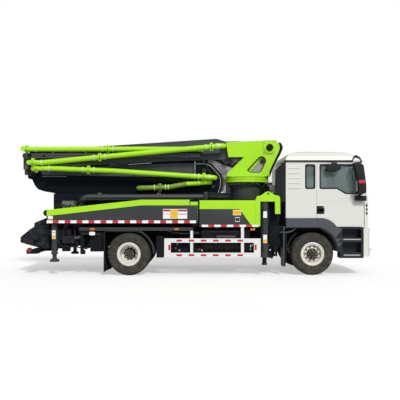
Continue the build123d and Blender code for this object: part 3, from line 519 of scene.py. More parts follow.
class Shape:
    """A mesh that grows from simple solids and ends as one piece that rides on a body."""

    def __init__(self, name: str, finish: Look) -> None:
        """Start an empty mesh.

        Args:
            name: Name of the piece.
            finish: Finish of what is added first.
        """
        self.name = name
        self.finishes = [finish]
        self.index = 0
        self.mesh = bmesh.new()

    def use(self, finish: Look) -> "Shape":
        """Give what is added from now on another finish."""
        if finish not in self.finishes:
            self.finishes.append(finish)
        self.index = self.finishes.index(finish)
        return self

    def solid(self, points: Iterable[Sequence[float]], faces: Iterable[Sequence[int]],
              edge: float = 0.0) -> "Shape":
        """Add a closed solid.

        Args:
            points: Corner points in millimetres.
            faces: Point numbers of each face, seen from outside anticlockwise.
            edge: Width of the rounding of its sharp edges.

        Returns:
            This shape.
        """
        verts = [self.mesh.verts.new(Vector(p) * MM) for p in points]
        made = []
        for face in faces:
            new = self.mesh.faces.new([verts[i] for i in face])
            new.material_index = self.index
            new.normal_update()
            made.append(new)
        if edge:
            edges = {e for f in made for e in f.edges if e.calc_face_angle(0.0) > math.radians(25)}
            bmesh.ops.bevel(self.mesh, geom=list(edges), offset=edge * MM, segments=2, profile=0.6,
                            affect="EDGES", clamp_overlap=True, material=self.index)
        return self

    def plate(self, outline: Sequence[Flat], low: float, high: float, across: Across = Across.Y,
              edge: float = 0.0) -> "Shape":
        """Add an outline carried along an axis.

        Args:
            outline: Points in the plane of the other two axes, in X, Y, Z order.
            low: Start along the axis.
            high: End along the axis.
            across: The axis.
            edge: Width of the rounding of its edges.

        Returns:
            This shape.
        """
        points = list(outline)
        if (twice_area(points) > 0) == (across is Across.Y):
            points.reverse()
        n = len(points)
        corners = [lifted(p, depth, across) for depth in (low, high) for p in points]
        ends = [list(range(n))[::-1], list(range(n, 2 * n))]
        return self.solid(corners, ends + lattice(2, n, closed=False), edge)

    def block(self, x: Span, y: Span, z: Span, edge: float = 0.0) -> "Shape":
        """Add a box between two values on each axis, with its edges rounded."""
        return self.plate(oblong(x, z), *y, edge=edge)

    def boxes(self, table: Iterable[tuple[Look, Span, Span, Span, float]]) -> "Shape":
        """Add boxes from rows of a finish, the spans of X, Y and Z, and the rounding of the edges."""
        for finish, *box in table:
            self.use(finish).block(*box)
        return self

    def band(self, outer: Sequence[Flat], inner: Sequence[Flat], low: float, high: float) -> "Shape":
        """Add the ring between two outlines with as many points, carried along Y."""
        turn = -1 if twice_area(outer) > 0 else 1
        rings = ((outer, low), (outer, high), (inner, high), (inner, low))
        points = [lifted(p, depth, Across.Y) for outline, depth in rings for p in outline]
        return self.solid(points, [face[::turn] for face in lattice(4, len(outer))])

    def rod(self, start: Sequence[float], end: Sequence[float], radius: float,
            end_radius: float | None = None, sides: int = 20) -> "Shape":
        """Add a round bar or cone between two points."""
        return self.sweep([Vector(start), Vector(end)], [radius, end_radius or radius], sides)

    def rods(self, table: Iterable[tuple[Look, Point, Point, float, int]]) -> "Shape":
        """Add round bars from rows of a finish, the two ends, the radius and the number of sides."""
        for finish, start, end, radius, sides in table:
            self.use(finish).rod(start, end, radius, sides=sides)
        return self

    def tube(self, points: Sequence[Point], radius: float, bend: float = 60.0,
             sides: int = 12) -> "Shape":
        """Add a round bar along a line with rounded corners."""
        line = bent(points, bend)
        return self.sweep(line, [radius] * len(line), sides)

    def tubes(self, count: int, step: Point, points: Sequence[Point], radius: float,
              bend: float = 60.0, sides: int = 8) -> "Shape":
        """Add like tubes side by side, each a step on from the one before."""
        for i in range(count):
            self.tube([tuple(a + i * b for a, b in zip(point, step)) for point in points],
                      radius, bend, sides)
        return self

    def sweep(self, line: Sequence[Vector], radii: Sequence[float], sides: int) -> "Shape":
        """Add a round bar along points, each with its radius."""
        points: list[Vector] = []
        normal = (line[1] - line[0]).normalized().orthogonal().normalized()
        for i, here in enumerate(line):
            ahead = (line[min(i + 1, len(line) - 1)] - line[max(i - 1, 0)]).normalized()
            normal = (normal - ahead * normal.dot(ahead)).normalized()
            side = ahead.cross(normal)
            for k in range(sides):
                a = 2 * math.pi * k / sides
                points.append(here + (normal * math.cos(a) + side * math.sin(a)) * radii[i])
        ends = [list(range(sides))[::-1], list(range(len(points) - sides, len(points)))]
        return self.solid(points, ends + lattice(len(line), sides, closed=False))

    def turned(self, profile: Sequence[Flat], centre: Point, across: Across = Across.Y,
               sides: int = 64) -> "Shape":
        """Add a ring whose section is turned about an axis.

        Args:
            profile: Closed section as (distance along the axis from the centre, radius).
            centre: Point on the axis.
            across: The axis.
            sides: Number of steps round.

        Returns:
            This shape.
        """
        section = list(profile)
        if twice_area(section) < 0:
            section.reverse()
        first, second = [i for i in range(3) if i != across.value]
        if across is Across.Y:
            first, second = second, first
        points = []
        for k in range(sides):
            a = 2 * math.pi * k / sides
            for along, radius in section:
                p = list(centre)
                p[across.value] += along
                p[first] += radius * math.cos(a)
                p[second] += radius * math.sin(a)
                points.append(p)
        return self.solid(points, lattice(sides, len(section)))

    def repeated(self, unit: "Shape", kind: Repeat, count: int, step: Point,
                 centre: Point = (0, 0, 0)) -> "Shape":
        """Add another shape many times through a Geometry Nodes tree.

        Args:
            unit: The shape to repeat, used up by this.
            kind: Along a line or round an axis.
            count: How many.
            step: Millimetres from one to the next, or the turn in radians about each axis.
            centre: Where the first one's origin comes to lie, or the middle of the ring.

        Returns:
            This shape.
        """
        finish = unit.finishes[0]
        data = bpy.data.meshes.new("unit")
        unit.mesh.to_mesh(data)
        unit.mesh.free()
        holder = bpy.data.objects.new("unit", data)
        bpy.context.scene.collection.objects.link(holder)
        modifier = holder.modifiers.new("repeat", "NODES")
        modifier.node_group = kind.tree()
        values = {"Count": count, "Step": Vector(step) * (MM if kind is Repeat.LINE else 1),
                  "Centre": Vector(centre) * MM, "Finish": finish.material()}
        for item in modifier.node_group.interface.items_tree:
            if item.in_out == "INPUT" and item.name in values:
                modifier[item.identifier] = values[item.name]
        baked = bpy.data.meshes.new_from_object(
            holder.evaluated_get(bpy.context.evaluated_depsgraph_get()))
        self.use(finish)
        baked.polygons.foreach_set("material_index", [self.index] * len(baked.polygons))
        self.mesh.from_mesh(baked)
        bpy.data.objects.remove(holder)
        bpy.data.meshes.remove(data)
        bpy.data.meshes.remove(baked)
        return self

    def row(self, unit: "Shape", count: int, step: Point, start: Point = (0, 0, 0)) -> "Shape":
        """Add a unit many times along a line."""
        return self.repeated(unit, Repeat.LINE, count, step, start)

    def ring(self, unit: "Shape", count: int, centre: Point, across: Across = Across.Y) -> "Shape":
        """Add a unit many times, evenly round an axis."""
        return self.repeated(unit, Repeat.RING, count, lifted((0, 0), math.tau / count, across), centre)

    def pad(self, x: Span, y: Span, z: Span, square: float = 5.0) -> "Shape":
        """Add a stuffed block with bulging faces; a higher square makes it boxier."""
        known = set(self.mesh.verts)
        made = bmesh.ops.create_cube(self.mesh, size=2.0)["verts"]
        edges = list({e for v in made for e in v.link_edges})
        bmesh.ops.subdivide_edges(self.mesh, edges=edges, cuts=9, use_grid_fill=True)
        verts = [v for v in self.mesh.verts if v not in known]
        middle = Vector([(a + b) / 2 for a, b in (x, y, z)])
        half = Vector([(b - a) / 2 for a, b in (x, y, z)])
        for vert in verts:
            reach = sum(abs(c) ** square for c in vert.co) ** (1 / square)
            vert.co = (middle + Vector([c / reach * h for c, h in zip(vert.co, half)])) * MM
            for face in vert.link_faces:
                face.material_index = self.index
        return self

    def tape(self, start_x: float, z: Span, face: float, segment: float, count: int) -> "Shape":
        """Add red and white tape that starts with white.

        Args:
            start_x: Start of the tape.
            z: Lower and upper edge.
            face: Y of the panel it sticks to.
            segment: Length of one colour.
            count: Number of segments.

        Returns:
            This shape.
        """
        for finish, first, number in ((TAPE_WHITE, 0, (count + 1) // 2), (TAPE_RED, 1, count // 2)):
            unit = Shape("tape", finish).block((0, segment), (face - 2, face), z)
            self.row(unit, number, (2 * segment, 0, 0), (start_x + first * segment, 0, 0))
        return self

    def label(self, x: Span, z: Span, face: float, *bands: tuple[Finish, float, float]) -> "Shape":
        """Add a blank label with coloured bands.

        Args:
            x: Start and end.
            z: Lower and upper edge.
            face: Y of the surface it sticks to.
            bands: Finish with the start and end share of the height.

        Returns:
            This shape.
        """
        self.use(VINYL_WHITE).plate(oblong(x, z, 6), face - 1.5, face)
        height = z[1] - z[0]
        for finish, low, high in bands:
            self.use(finish).block((x[0] + 5, x[1] - 5), (face - 2.2, face - 1.4),
                                   (z[0] + height * low, z[0] + height * high))
        return self

    def _mirror(self, verts: Iterable[bmesh.types.BMVert], faces: Sequence[bmesh.types.BMFace]) -> None:
        """Mirror a part of the mesh in the vehicle's middle plane."""
        for vert in verts:
            vert.co.y = -vert.co.y
        bmesh.ops.reverse_faces(self.mesh, faces=faces)

    def flipped(self, side: Side) -> "Shape":
        """Move a right-hand shape to the other side where the side is left."""
        if side is Side.LEFT:
            self._mirror(self.mesh.verts, self.mesh.faces[:])
        return self

    def doubled(self) -> "Shape":
        """Add the mirror image of all that there is so far."""
        whole = self.mesh.verts[:] + self.mesh.edges[:] + self.mesh.faces[:]
        copied = bmesh.ops.duplicate(self.mesh, geom=whole)["geom"]
        self._mirror([part for part in copied if isinstance(part, bmesh.types.BMVert)],
                     [part for part in copied if isinstance(part, bmesh.types.BMFace)])
        return self

    def rides(self, body: str, angle: float = 35.0) -> bpy.types.Object:
        """Make the piece and let it ride on a body.

        Args:
            body: Name of the body.
            angle: Edges sharper than this, in degrees, stay sharp.

        Returns:
            The piece.
        """
        data = bpy.data.meshes.new(self.name)
        self.mesh.to_mesh(data)
        self.mesh.free()
        for finish in self.finishes:
            data.materials.append(finish.material())
        data.shade_smooth()
        data.set_sharp_from_angle(angle=math.radians(angle))
        piece = bpy.data.objects.new(self.name, data)
        bpy.context.scene.collection.objects.link(piece)
        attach(piece, body)
        LOG.info("%s on %s, %d faces", self.name, body, len(data.polygons))
        return piece


def stud(start: Point, end: Point, radius: float, finish: Look = ZINC) -> Shape:
    """A bolt head or nut between two points, to be repeated."""
    return Shape("stud", finish).rod(start, end, radius, sides=6)


class Wheel:
    """Tyres with tread and sidewall ribs, and the fittings of their rims."""

    @dataclass(frozen=True)
    class Sizes:
        """Sizes of one wheel or twin pair, as it is on the right-hand side.

        Attributes:
            body: Start of the name of its body.
            tyres: Node of its tyres, without the side.
            x: Place of its axle.
            middles: Y of each tyre's middle plane, the outer one first.
            nuts_y: Y of the face that the wheel nuts stand on.
            hub: Section of the hub's end as (Y, radius).
            spots: Radius, size and Y of black discs, painted shade in hand holes, or nothing where the
                construction has the holes.
        """

        body: str
        tyres: str
        x: float
        middles: tuple[float, ...]
        nuts_y: float
        hub: tuple[Flat, ...]
        spots: tuple[float, float, float] | None = None

    FRONT = Sizes("front_wheel", "front_tyre", FRONT_AXLE_X, (-FRONT_WHEEL_Y,), -1118,
                  ((-1128, 1), (-1128, 146), (-1160, 146), (-1172, 120), (-1178, 112), (-1178, 86),
                   (-1204, 78), (-1212, 66), (-1212, 1)))
    REAR = Sizes("rear_wheels", "rear_tyres", REAR_AXLE_X, (-REAR_OUTER_Y, -REAR_INNER_Y), -990,
                 ((-990, 1), (-990, 150), (-1004, 150), (-1010, 128), (-1088, 112), (-1096, 100),
                  (-1096, 1)), (205, 30, -991))
    # Section of the tyre as (distance from its middle plane, radius): the tread's middle grooves, and
    # one half from the outer groove over the shoulder and the sidewall's ribs to the bead
    GROOVES = ((-34, 545), (-30, 531), (-20, 531), (-16, 545), (16, 545), (20, 531), (30, 531), (34, 545))
    HALF = ((60, 545), (66, 531), (76, 531), (80, 545), (106, 537), (112, 524), (138, 508),
            (146, 488), (150, 466), (152, 464), (152, 456), (150, 452), (152, 440), (152, 396),
            (155, 394), (155, 388), (152, 384), (151, 352), (154, 349), (154, 343), (148, 338),
            (142, 306), (137, 292), (124, 283), (118, 279), (118, 258))
    # Sections of the rim's flange and of a black ring inside it, painted shade in the gap, from the tyre's
    # middle plane
    FLANGE = ((-116, 250), (-134, 262), (-147, 270), (-150, 290), (-145, 301), (-134, 301), (-116, 284))
    GAP = ((-100, 240), (-120, 240), (-124, 251), (-100, 251))
    SHOULDER = (106, 143)
    TREAD_BLOCKS = 60
    NUTS = 10
    HUB_BOLTS = 8

    def build(self, sizes: "Wheel.Sizes", side: Side) -> None:
        """Build the tyres and the rim's fittings of one wheel."""
        self._tyres(sizes, side)
        self._fittings(sizes, side)

    def _tyres(self, sizes: "Wheel.Sizes", side: Side) -> None:
        """Turn the tyres and set tread blocks on their shoulders."""
        node = f"{sizes.tyres}_{side.word}"
        shape = Shape(f"{node}_rubber", TYRE_RUBBER)
        profile = [(-w, r) for w, r in reversed(self.HALF)] + [*self.GROOVES, *self.HALF]
        for middle in sizes.middles:
            centre = (sizes.x, middle, WHEEL_Z)
            shape.turned(profile, centre, sides=120)
            for lean in (-1, 1):
                unit = Shape("block", TYRE_RUBBER)
                unit.plate([(-9, 505), (9, 505), (7, 534), (-7, 534)],
                           *sorted(lean * edge for edge in self.SHOULDER))
                shape.ring(unit, self.TREAD_BLOCKS, centre)
        piece = shape.flipped(side).rides(f"{sizes.body}_{side.word}", 30)
        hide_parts(node)

    def _fittings(self, sizes: "Wheel.Sizes", side: Side) -> None:
        """Add the bead flange, nuts, hub end, valve, and black discs as painted shade in the hand holes."""
        body = f"{sizes.body}_{side.word}"
        middle = sizes.middles[0]
        axle = (sizes.x, 0, WHEEL_Z)
        shape = Shape(f"{body}_fittings", RIM_RING)
        shape.turned([(middle + y, r) for y, r in self.FLANGE], axle, sides=96)
        # Black ring in the gap inside the flange: painted shade
        shape.use(BLACK_RUBBER).turned([(middle + y, r) for y, r in self.GAP], axle, sides=72)
        shape.use(CAST_IRON).turned(sizes.hub, axle, sides=48)
        nut = stud((166, 0, 0), (166, -34, 0), 17, CAST_IRON).rod((166, -34, 0), (166, -48, 0), 10, sides=10)
        shape.ring(nut, self.NUTS, (sizes.x, sizes.nuts_y + 22, WHEEL_Z))
        hub_face = min(y for y, r in sizes.hub if r > 99) + 8
        shape.ring(stud((0, 0, 98), (0, -12, 98), 9), self.HUB_BOLTS, (sizes.x, hub_face, WHEEL_Z))
        if sizes.spots:
            radius, size, y = sizes.spots
            # Black discs stand in for the hand holes: painted shade
            hole = Shape("hole", BLACK_RUBBER).rod((0, 0, radius), (0, -2, radius), size, sides=16)
            shape.ring(hole, self.NUTS, (sizes.x, y, WHEEL_Z))
        shape.use(ZINC).tube([(sizes.x + 150, middle - 60, WHEEL_Z + 205),
                              (sizes.x + 168, middle - 120, WHEEL_Z + 190)], 5, 20, 8)
        shape.flipped(side).rides(body)


class SideGuard:
    """Red dashes, bolts and end marks on the white side guard."""

    @dataclass(frozen=True)
    class Sizes:
        """Sizes of the dashes.

        Attributes:
            first_x: Start of the first dash.
            pitch: From one dash to the next.
            length: Length of a dash.
            half: Half of a dash's height.
            rails: Middle height of each rail.
            ends: Span of X of the marks on the end posts.
            face_y: Outer face of the rails.
        """

        first_x: float = -407
        pitch: float = 311
        length: float = 148
        half: float = 26
        rails: tuple[float, ...] = (893, 521)
        ends: tuple[Span, ...] = ((-612, -558), (1590, 1642))
        face_y: float = -1245

    def build(self, side: Side) -> None:
        """Build the marks of one side."""
        sizes = self.Sizes()
        face = sizes.face_y
        tape = (face - 2, face)
        shape = Shape(f"side_guard_marks_{side.word}", TAPE_RED)
        for z in sizes.rails:
            dash = Shape("dash", TAPE_RED)
            dash.plate(oblong((0, sizes.length), (z - sizes.half, z + sizes.half), 22), *tape)
            shape.row(dash, 6, (sizes.pitch, 0, 0), (sizes.first_x, 0, 0))
            shape.row(stud((0, face, z + 34), (0, face - 7, z + 34), 8), 5, (572, 0, 0), (-640, 0, 0))
        shape.boxes((TAPE_RED, x, tape, (650, 790), 0) for x in sizes.ends)
        shape.flipped(side).rides("chassis")


class DeckSide:
    """Tape, labels, lamps and end caps on one side of the deck."""

    # Y of the swing arm's panel, of its raised front part and of the boxes in front of it
    ARM_Y = -1248
    FRONT_Y = -1252
    BOX_Y = -1253
    # Finish, spans of X, Y and Z, and edge of the lamps, strips and handles on the fixed boxes
    FITTINGS = (
        (LENS_AMBER, (1480, 1600), (-1262, -1246), (1150, 1205), 8),
        (GREY_ENAMEL, (622, 1103), (-1236, -1170), (964, 1023), 4),
        (LENS_AMBER, (-2610, -2492), (-1254, -1238), (1160, 1212), 8),
        (LENS_AMBER, (-460, -342), (-1254, -1238), (1160, 1212), 8),
        (BLACK_RUBBER, (186, 200), (-1252, -1246), (1315, 1690), 0),
        (CHASSIS_ENAMEL, (100, 230), (-985, -955), (1262, 1925), 4),
        (CHASSIS_ENAMEL, (1690, 2230), (-1020, -1000), (1262, 1900), 4),
        (ZINC, (1150, 1190), (-1258, -1250), (1640, 1660), 2),
        (ZINC, (1150, 1190), (-1258, -1250), (1370, 1390), 2),
    )

    def build(self, side: Side) -> None:
        """Build what rides on the swing arm and what stays with the chassis."""
        self._arm(side)
        self._fixed(side)

    def _arm(self, side: Side) -> None:
        """Dress the swing arm's outer panel."""
        shape = Shape(f"swing_arm_marks_{side.word}", TAPE_WHITE)
        shape.tape(-3712, (1338, 1407), self.ARM_Y, 152.2, 25)
        shape.use(CHASSIS_ENAMEL).block((-3712, 142), (-1250, -1246), (1316, 1338))
        shape.label((-3680, -3556), (1418, 1520), self.ARM_Y, (VINYL_RED, 0.08, 0.3))
        shape.use(PANEL_GREY).plate([(-760, 1409), (140, 1409), (140, 1794), (-760, 1790)], -1252, -1245,
                                    edge=2)
        for x, band, line in (((-746, -556), (VINYL_RED, 0.74, 0.94), (TAPE_RED, 0.46, 0.50)),
                              ((-550, -374), (VINYL_YELLOW, 0.04, 0.96), (BLACK_RUBBER, 0.48, 0.50)),
                              ((-368, -130), (VINYL_RED, 0.74, 0.94), (BLACK_RUBBER, 0.44, 0.50))):
            shape.label(x, (1452, 1700), self.FRONT_Y, band, line)
        shape.use(CHASSIS_ENAMEL).block((-66, -52), (-1251, -1245), (1796, 1936))
        shape.block((-52, 144), (-1251, -1245), (1886, 1937))
        shape.use(BLACK_RUBBER).turned([(-1238, 1), (-1238, 60), (-1226, 84), (-1040, 84), (-1030, 60),
                                        (-1030, 1)], (-3722, 0, 1596), sides=40)
        shape.row(stud((0, self.FRONT_Y, 0), (0, self.FRONT_Y - 6, 0), 8), 9, (400, 0, 0), (-3500, 0, 1420))
        shape.flipped(side).rides(f"swing_arm_{side.word}")

    def _fixed(self, side: Side) -> None:
        """Dress the boxes in front of the swing arm and the deck's edge rail."""
        shape = Shape(f"deck_side_marks_{side.word}", TAPE_WHITE)
        shape.tape(242, (1242, 1298), self.BOX_Y, 160.5, 9)
        shape.use(PANEL_GREY).plate([(186, 1241), (1527, 1241), (1208, 1695), (186, 1695)], -1253, -1246,
                                    edge=2)
        shape.label((1036, 1246), (1540, 1676), self.BOX_Y, (VINYL_YELLOW, 0.05, 0.95),
                    (BLACK_RUBBER, 0.46, 0.5))
        shape.label((1094, 1210), (1375, 1490), self.BOX_Y, (PANEL_GREY, 0.14, 0.86),
                    (VINYL_GREY, 0.40, 0.52))
        shape.use(VINYL_WHITE).plate(oblong((-2630, -2478), (1030, 1118), 36), -1246, -1240)
        shape.boxes(self.FITTINGS).flipped(side).rides("chassis")


class Jack:
    """Labels, collars, hoses and feet of the stabiliser legs."""

    # Sections of the feet as (Z, radius)
    REAR_FOOT = ((352, 1), (346, 112), (352, 121), (366, 121), (378, 100), (398, 92), (430, 60), (430, 1))
    FRONT_FOOT = ((265, 1), (263, 66), (270, 74), (296, 74), (306, 60), (306, 1))

    def build(self, side: Side) -> None:
        """Dress the rear and front legs of one side."""
        x, y = REAR_JACK
        rear = Shape(f"rear_jack_trim_{side.word}", PANEL_GREY)
        rear.turned([(0, 56), (0, 84), (26, 88), (52, 84), (52, 56)], (x, y, 534), Across.Z, 40)
        rear.turned([(0, 74), (0, 82), (14, 82), (14, 74)], (x, y, 1090), Across.Z, 40)
        rear.label((x - 46, x + 46), (930, 1150), y - 75, (VINYL_WHITE, 0.55, 0.95),
                   (VINYL_YELLOW, 0.05, 0.45))
        rear.use(HOSE_RUBBER).tube([(x + 60, y + 20, 1480), (x + 88, y + 20, 1300), (x + 88, y + 20, 700),
                                    (x + 70, y + 20, 620)], 11)
        rear.flipped(side).rides(f"swing_arm_{side.word}")
        self._foot("rear", REAR_JACK, self.REAR_FOOT, 48, side)
        x, y = FRONT_JACK
        front = Shape(f"front_jack_trim_{side.word}", PANEL_GREY)
        front.turned([(0, 58), (0, 104), (20, 110), (44, 104), (44, 58)], (x, y, 457), Across.Z, 40)
        front.turned([(0, 96), (0, 106), (16, 106), (16, 96)], (x, y, 1330), Across.Z, 40)
        front.label((x - 52, x + 52), (1475, 1640), y - 99, (VINYL_WHITE, 0.3, 0.9))
        front.label((x - 52, x + 52), (830, 1040), y - 99, (VINYL_WHITE, 0.5, 0.95),
                    (VINYL_YELLOW, 0.05, 0.42))
        front.use(HOSE_RUBBER).tube([(x - 40, y - 96, 1750), (x - 60, y - 112, 1500),
                                     (x - 60, y - 112, 700), (x - 50, y - 104, 600)], 11)
        front.flipped(side).rides(f"front_beam_{side.word}")
        self._foot("front", FRONT_JACK, self.FRONT_FOOT, 40, side)

    @staticmethod
    def _foot(end: str, place: Flat, profile: Sequence[Flat], sides: int, side: Side) -> None:
        """Turn the foot of one leg."""
        foot = Shape(f"{end}_jack_foot_{side.word}", CAST_IRON)
        foot.turned(profile, (*place, 0), Across.Z, sides)
        foot.flipped(side).rides(f"{end}_jack_{side.word}")


class Cab:
    """Seals, ribs, rails, visor, steps, mirrors and handles of the cab."""

    DOOR_WINDOW = ((3264, 2220), (3701, 2220), (3924, 2090), (4266, 2090), (4142, 2835), (3264, 2835))
    REAR_WINDOW = ((2896, 2220), (3140, 2220), (3140, 2837), (2896, 2837))
    # Outlines of the main mirror's housing, of the small mirror above the door and of the visor
    HOUSING = ((4048, 2850), (4120, 2882), (4206, 2869), (4300, 2800), (4347, 2460), (4368, 2277),
               (4368, 2120), (4346, 2090), (4210, 2090), (4181, 2160), (4156, 2460), (4095, 2700))
    SMALL_MIRROR = ((3412, 2770), (3500, 2822), (3560, 2880), (3664, 2880), (3700, 2815), (3772, 2760),
                    (3760, 2700), (3640, 2650), (3450, 2655), (3400, 2700))
    VISOR = ((4105, 3046), (4192, 3062), (4286, 3010), (4346, 2896), (4330, 2886), (4262, 2966),
             (4196, 3004), (4105, 2996))
    # Lower and upper end of the windscreen in X and Z
    SCREEN = ((4433, 2112), (4198, 2843))
    # Finish, spans of X, Y and Z, and edge of the drip rail, steps and boxes behind the wheel
    SIDE_BOXES = (
        (BLACK_RUBBER, (2385, 4110), (-1228, -1190), (2906, 2944), 3),
        (ALUMINIUM, (3848, 4300), (-1250, -1236), (908, 936), 4),
        (ALUMINIUM, (3862, 4286), (-1250, -1236), (506, 534), 4),
        (BLACK_RUBBER, (4352, 4372), (-1236, -1100), (520, 1230), 0),
        # A black plate over the cab's back wall: painted shade between the cab and the turret
        (GRAINED_BLACK, (2376, 2392), (-1192, -60), (1290, 1985), 3),
        (CHASSIS_ENAMEL, (1990, 2360), (-1060, -820), (700, 1262), 20),
        (CHASSIS_ENAMEL, (2300, 2520), (-1050, -980), (1040, 1290), 8),
        (CHASSIS_ENAMEL, (1960, 2080), (-1020, -860), (430, 720), 12),
        (CHASSIS_ENAMEL, (2090, 2200), (-1090, -900), (480, 760), 14),
        (GREY_ENAMEL, (2250, 2470), (-1190, -1120), (1085, 1118), 3),
        (GRAINED_BLACK, (4398, 4405), (-1202, -1190), (1248, 1868), 0),
    )
    # Finish, ends, radius and sides of the fittings there
    SIDE_RODS = (
        (ZINC, (2010, -1062, 640), (2010, -1072, 640), 24, 6),
        (ZINC, (2130, -1092, 560), (2130, -1102, 560), 16, 6),
        (LENS_RED, (1962, -1030, 760), (1962, -1064, 760), 26, 20),
    )
    # Span of Z and face of the dark slots on the front corner
    SLOTS = ((1748, 1838, -1206), (1652, 1728, -1206), (1546, 1632, -1206), (1060, 1150, -1216),
             (880, 1010, -1216))

    def build(self) -> None:
        """Build both sides and the front."""
        for side in Side:
            self._door(side)
            self._side(side)
        self._front()

    @staticmethod
    def _seal(shape: Shape, window: Sequence[Flat], wide: float) -> None:
        """Add a rubber seal round a window in a side wall."""
        shape.use(BLACK_RUBBER).band(softened(grown(window, 9), 52), softened(grown(window, -wide), 40),
                                     -CAB_SIDE_Y - 4, -CAB_SIDE_Y + 12)

    def _door(self, side: Side) -> None:
        """Dress a door: seal, handle, mirrors, and a pale line of painted shade along its pressed crease."""
        shape = Shape(f"door_trim_{side.word}", BLACK_RUBBER)
        self._seal(shape, self.DOOR_WINDOW, 22)
        shape.block((3262, 4140), (-1204, -1196), (2836, 2850), 2)
        shape.use(GRAINED_BLACK).plate(oblong((3180, 3378), (1572, 1776), 26), -1205, -1198, edge=2)
        shape.plate(oblong((3204, 3352), (1640, 1712), 20), -1222, -1204, edge=4)
        shape.use(ZINC).rod((3345, -1205, 1745), (3345, -1210, 1745), 11, sides=16)
        # Pale line along the pressed crease: painted shade
        shape.use(SEAM_AND_SHADE_LINE).block((3200, 4392), (-1201.5, -1199), (1877, 1882))
        shape.use(GRAINED_BLACK).plate(softened(self.HOUSING, 30), -1472, -1298, edge=10)
        shape.plate([(4150, -1218), (4395, -1218), (4421, -1330), (4150, -1330)], 1905, 2036, Across.Z, 14)
        shape.plate([(4142, 2835), (4266, 2090), (4322, 2060), (4192, 2880)], -1205, -1198, edge=2)
        shape.tube([(4180, -1196, 2862), (4200, -1300, 2862), (4215, -1370, 2810)], 16, 40)
        shape.plate(softened(self.SMALL_MIRROR, 20), -1330, -1222, edge=10)
        shape.tube([(3590, -1270, 2790), (3590, -1262, 2868), (3600, -1196, 2880)], 17, 30)
        shape.use(TAPE_RED).block((4176, 4330), (-1476, -1466), (2345, 2425), 3)
        shape.use(MIRROR_SILVER).block((4136, 4146), (-1440, -1318), (2150, 2420), 3)
        shape.flipped(side).rides(f"door_{side.word}")

    def _side(self, side: Side) -> None:
        """Dress the rear panel, drip rail, steps and wheel arch."""
        shape = Shape(f"cab_side_trim_{side.word}", BLACK_RUBBER)
        self._seal(shape, self.REAR_WINDOW, 26)
        rib = Shape("rib", CAB_ENAMEL).plate(oblong((2448, 2760), (-13, 13), 12), -1209, -1199, edge=4)
        # Pale lines just under the ribs: painted shade cast by each rib
        line = Shape("line", SEAM_AND_SHADE_LINE).block((2450, 2755), (-1201, -1199), (-22, -16))
        for unit in (rib, line):
            shape.row(unit, 5, (0, 0, -128), (0, 0, 2748))
        tooth = Shape("tooth", ALUMINIUM).block((3856, 3872), (-1236, -1130), (936, 942))
        shape.row(tooth, 14, (32, 0, 0))
        slat = Shape("slat", GRAINED_BLACK).block((2152, 2380), (-1194, -1183), (0, 10), 3)
        shape.row(slat, 19, (0, 0, 50), (0, 0, 1960))
        shape.use(WING_PLASTIC).tube([(2420, -1150, 1090), (2560, -1160, 1130), (2660, -1160, 1210)], 20)
        liner = ribbon(arc((FRONT_AXLE_X, WHEEL_Z), 656, 128, 176, 12), 0, 40)
        shape.use(BLACK_RUBBER).plate(liner, -1190, -880)
        shape.use(CHASSIS_ENAMEL).plate([(2392, 240), (2422, 640), (2420, 1060), (2384, 1080), (2336, 1060),
                                         (2330, 240)], -1180, -900, edge=4)
        shape.boxes(self.SIDE_BOXES).rods(self.SIDE_RODS).use(GRAINED_BLACK)
        for low, high, face in self.SLOTS:
            shape.plate([(4444, low + 14), (4478, low), (4484, high - 12), (4452, high)], face, -1190)
        shape.flipped(side).rides("chassis")

    def _front(self) -> None:
        """Dress the windscreen, visor, grille, bumper and lamps."""
        shape = Shape("cab_front_trim", CAB_ENAMEL)
        shape.use(GRAINED_BLACK).plate(ribbon([(4096, 2950), (4140, 3050), (4190, 3074), (4290, 3018),
                                               (4352, 2890)], -6, 22), -1212, -1140)
        shape.block((4528, 4546), (-1012, -700), (684, 906), 6)
        for y in (-780, -925):
            shape.use(MIRROR_SILVER).turned([(0, 1), (4, 40), (22, 60), (22, 64), (-4, 64), (-4, 1)],
                                            (4550, y, 795), Across.X, 32)
            shape.use(LENS_CLEAR).turned([(22, 1), (30, 30), (24, 62), (20, 62), (20, 1)],
                                         (4552, y, 795), Across.X, 32)
        shape.use(LENS_AMBER).block((4520, 4572), (-1060, -1016), (740, 860), 6)
        shape.doubled()
        shape.use(CAB_ENAMEL).plate(softened(self.VISOR, 18), -1150, 1150, edge=6)
        shape.use(GRAINED_BLACK).plate([(4150, 3062), (4194, 3071), (4292, 3018), (4286, 3008),
                                        (4192, 3060), (4150, 3052)], -1153, 1153)
        foot, head = (Vector(end) for end in self.SCREEN)
        lean = (head - foot).normalized()
        out = Vector((lean.y, -lean.x))

        def at(along: float, off: float, y: float = 0.0) -> Point:
            """Point at a distance up the windscreen and out from it."""
            spot = foot + lean * along + out * off
            return (spot.x, y, spot.y)

        shape.use(BLACK_RUBBER)
        for low, high, y0, y1 in ((-20, 16, -1045, 1045), (752, 782, -1045, 1045),
                                  (-20, 782, -1050, -1022), (-20, 782, 1022, 1050)):
            corners = [at(low, -8), at(high, -8), at(high, 12), at(low, 12)]
            shape.plate([(x, z) for x, _, z in corners], y0, y1)
        for y in (-560, 120, 640):
            shape.rod(at(-50, 24, y + 330), at(520, 22, y), 8, sides=10)
            shape.rod(at(60, 18, y + 30), at(520, 22, y - 30), 11, sides=8)
        shape.use(SEAM_AND_SHADE_LINE).block((4400, 4626), (-1212, 1212), (660, 666))
        shape.row(stud((4530, 0, 0), (4538, 0, 0), 9), 9, (0, 210, 0), (0, -840, 1300))
        shape.use(VINYL_WHITE).block((4625, 4634), (-260, 260), (560, 670), 3)
        shape.rides("chassis")


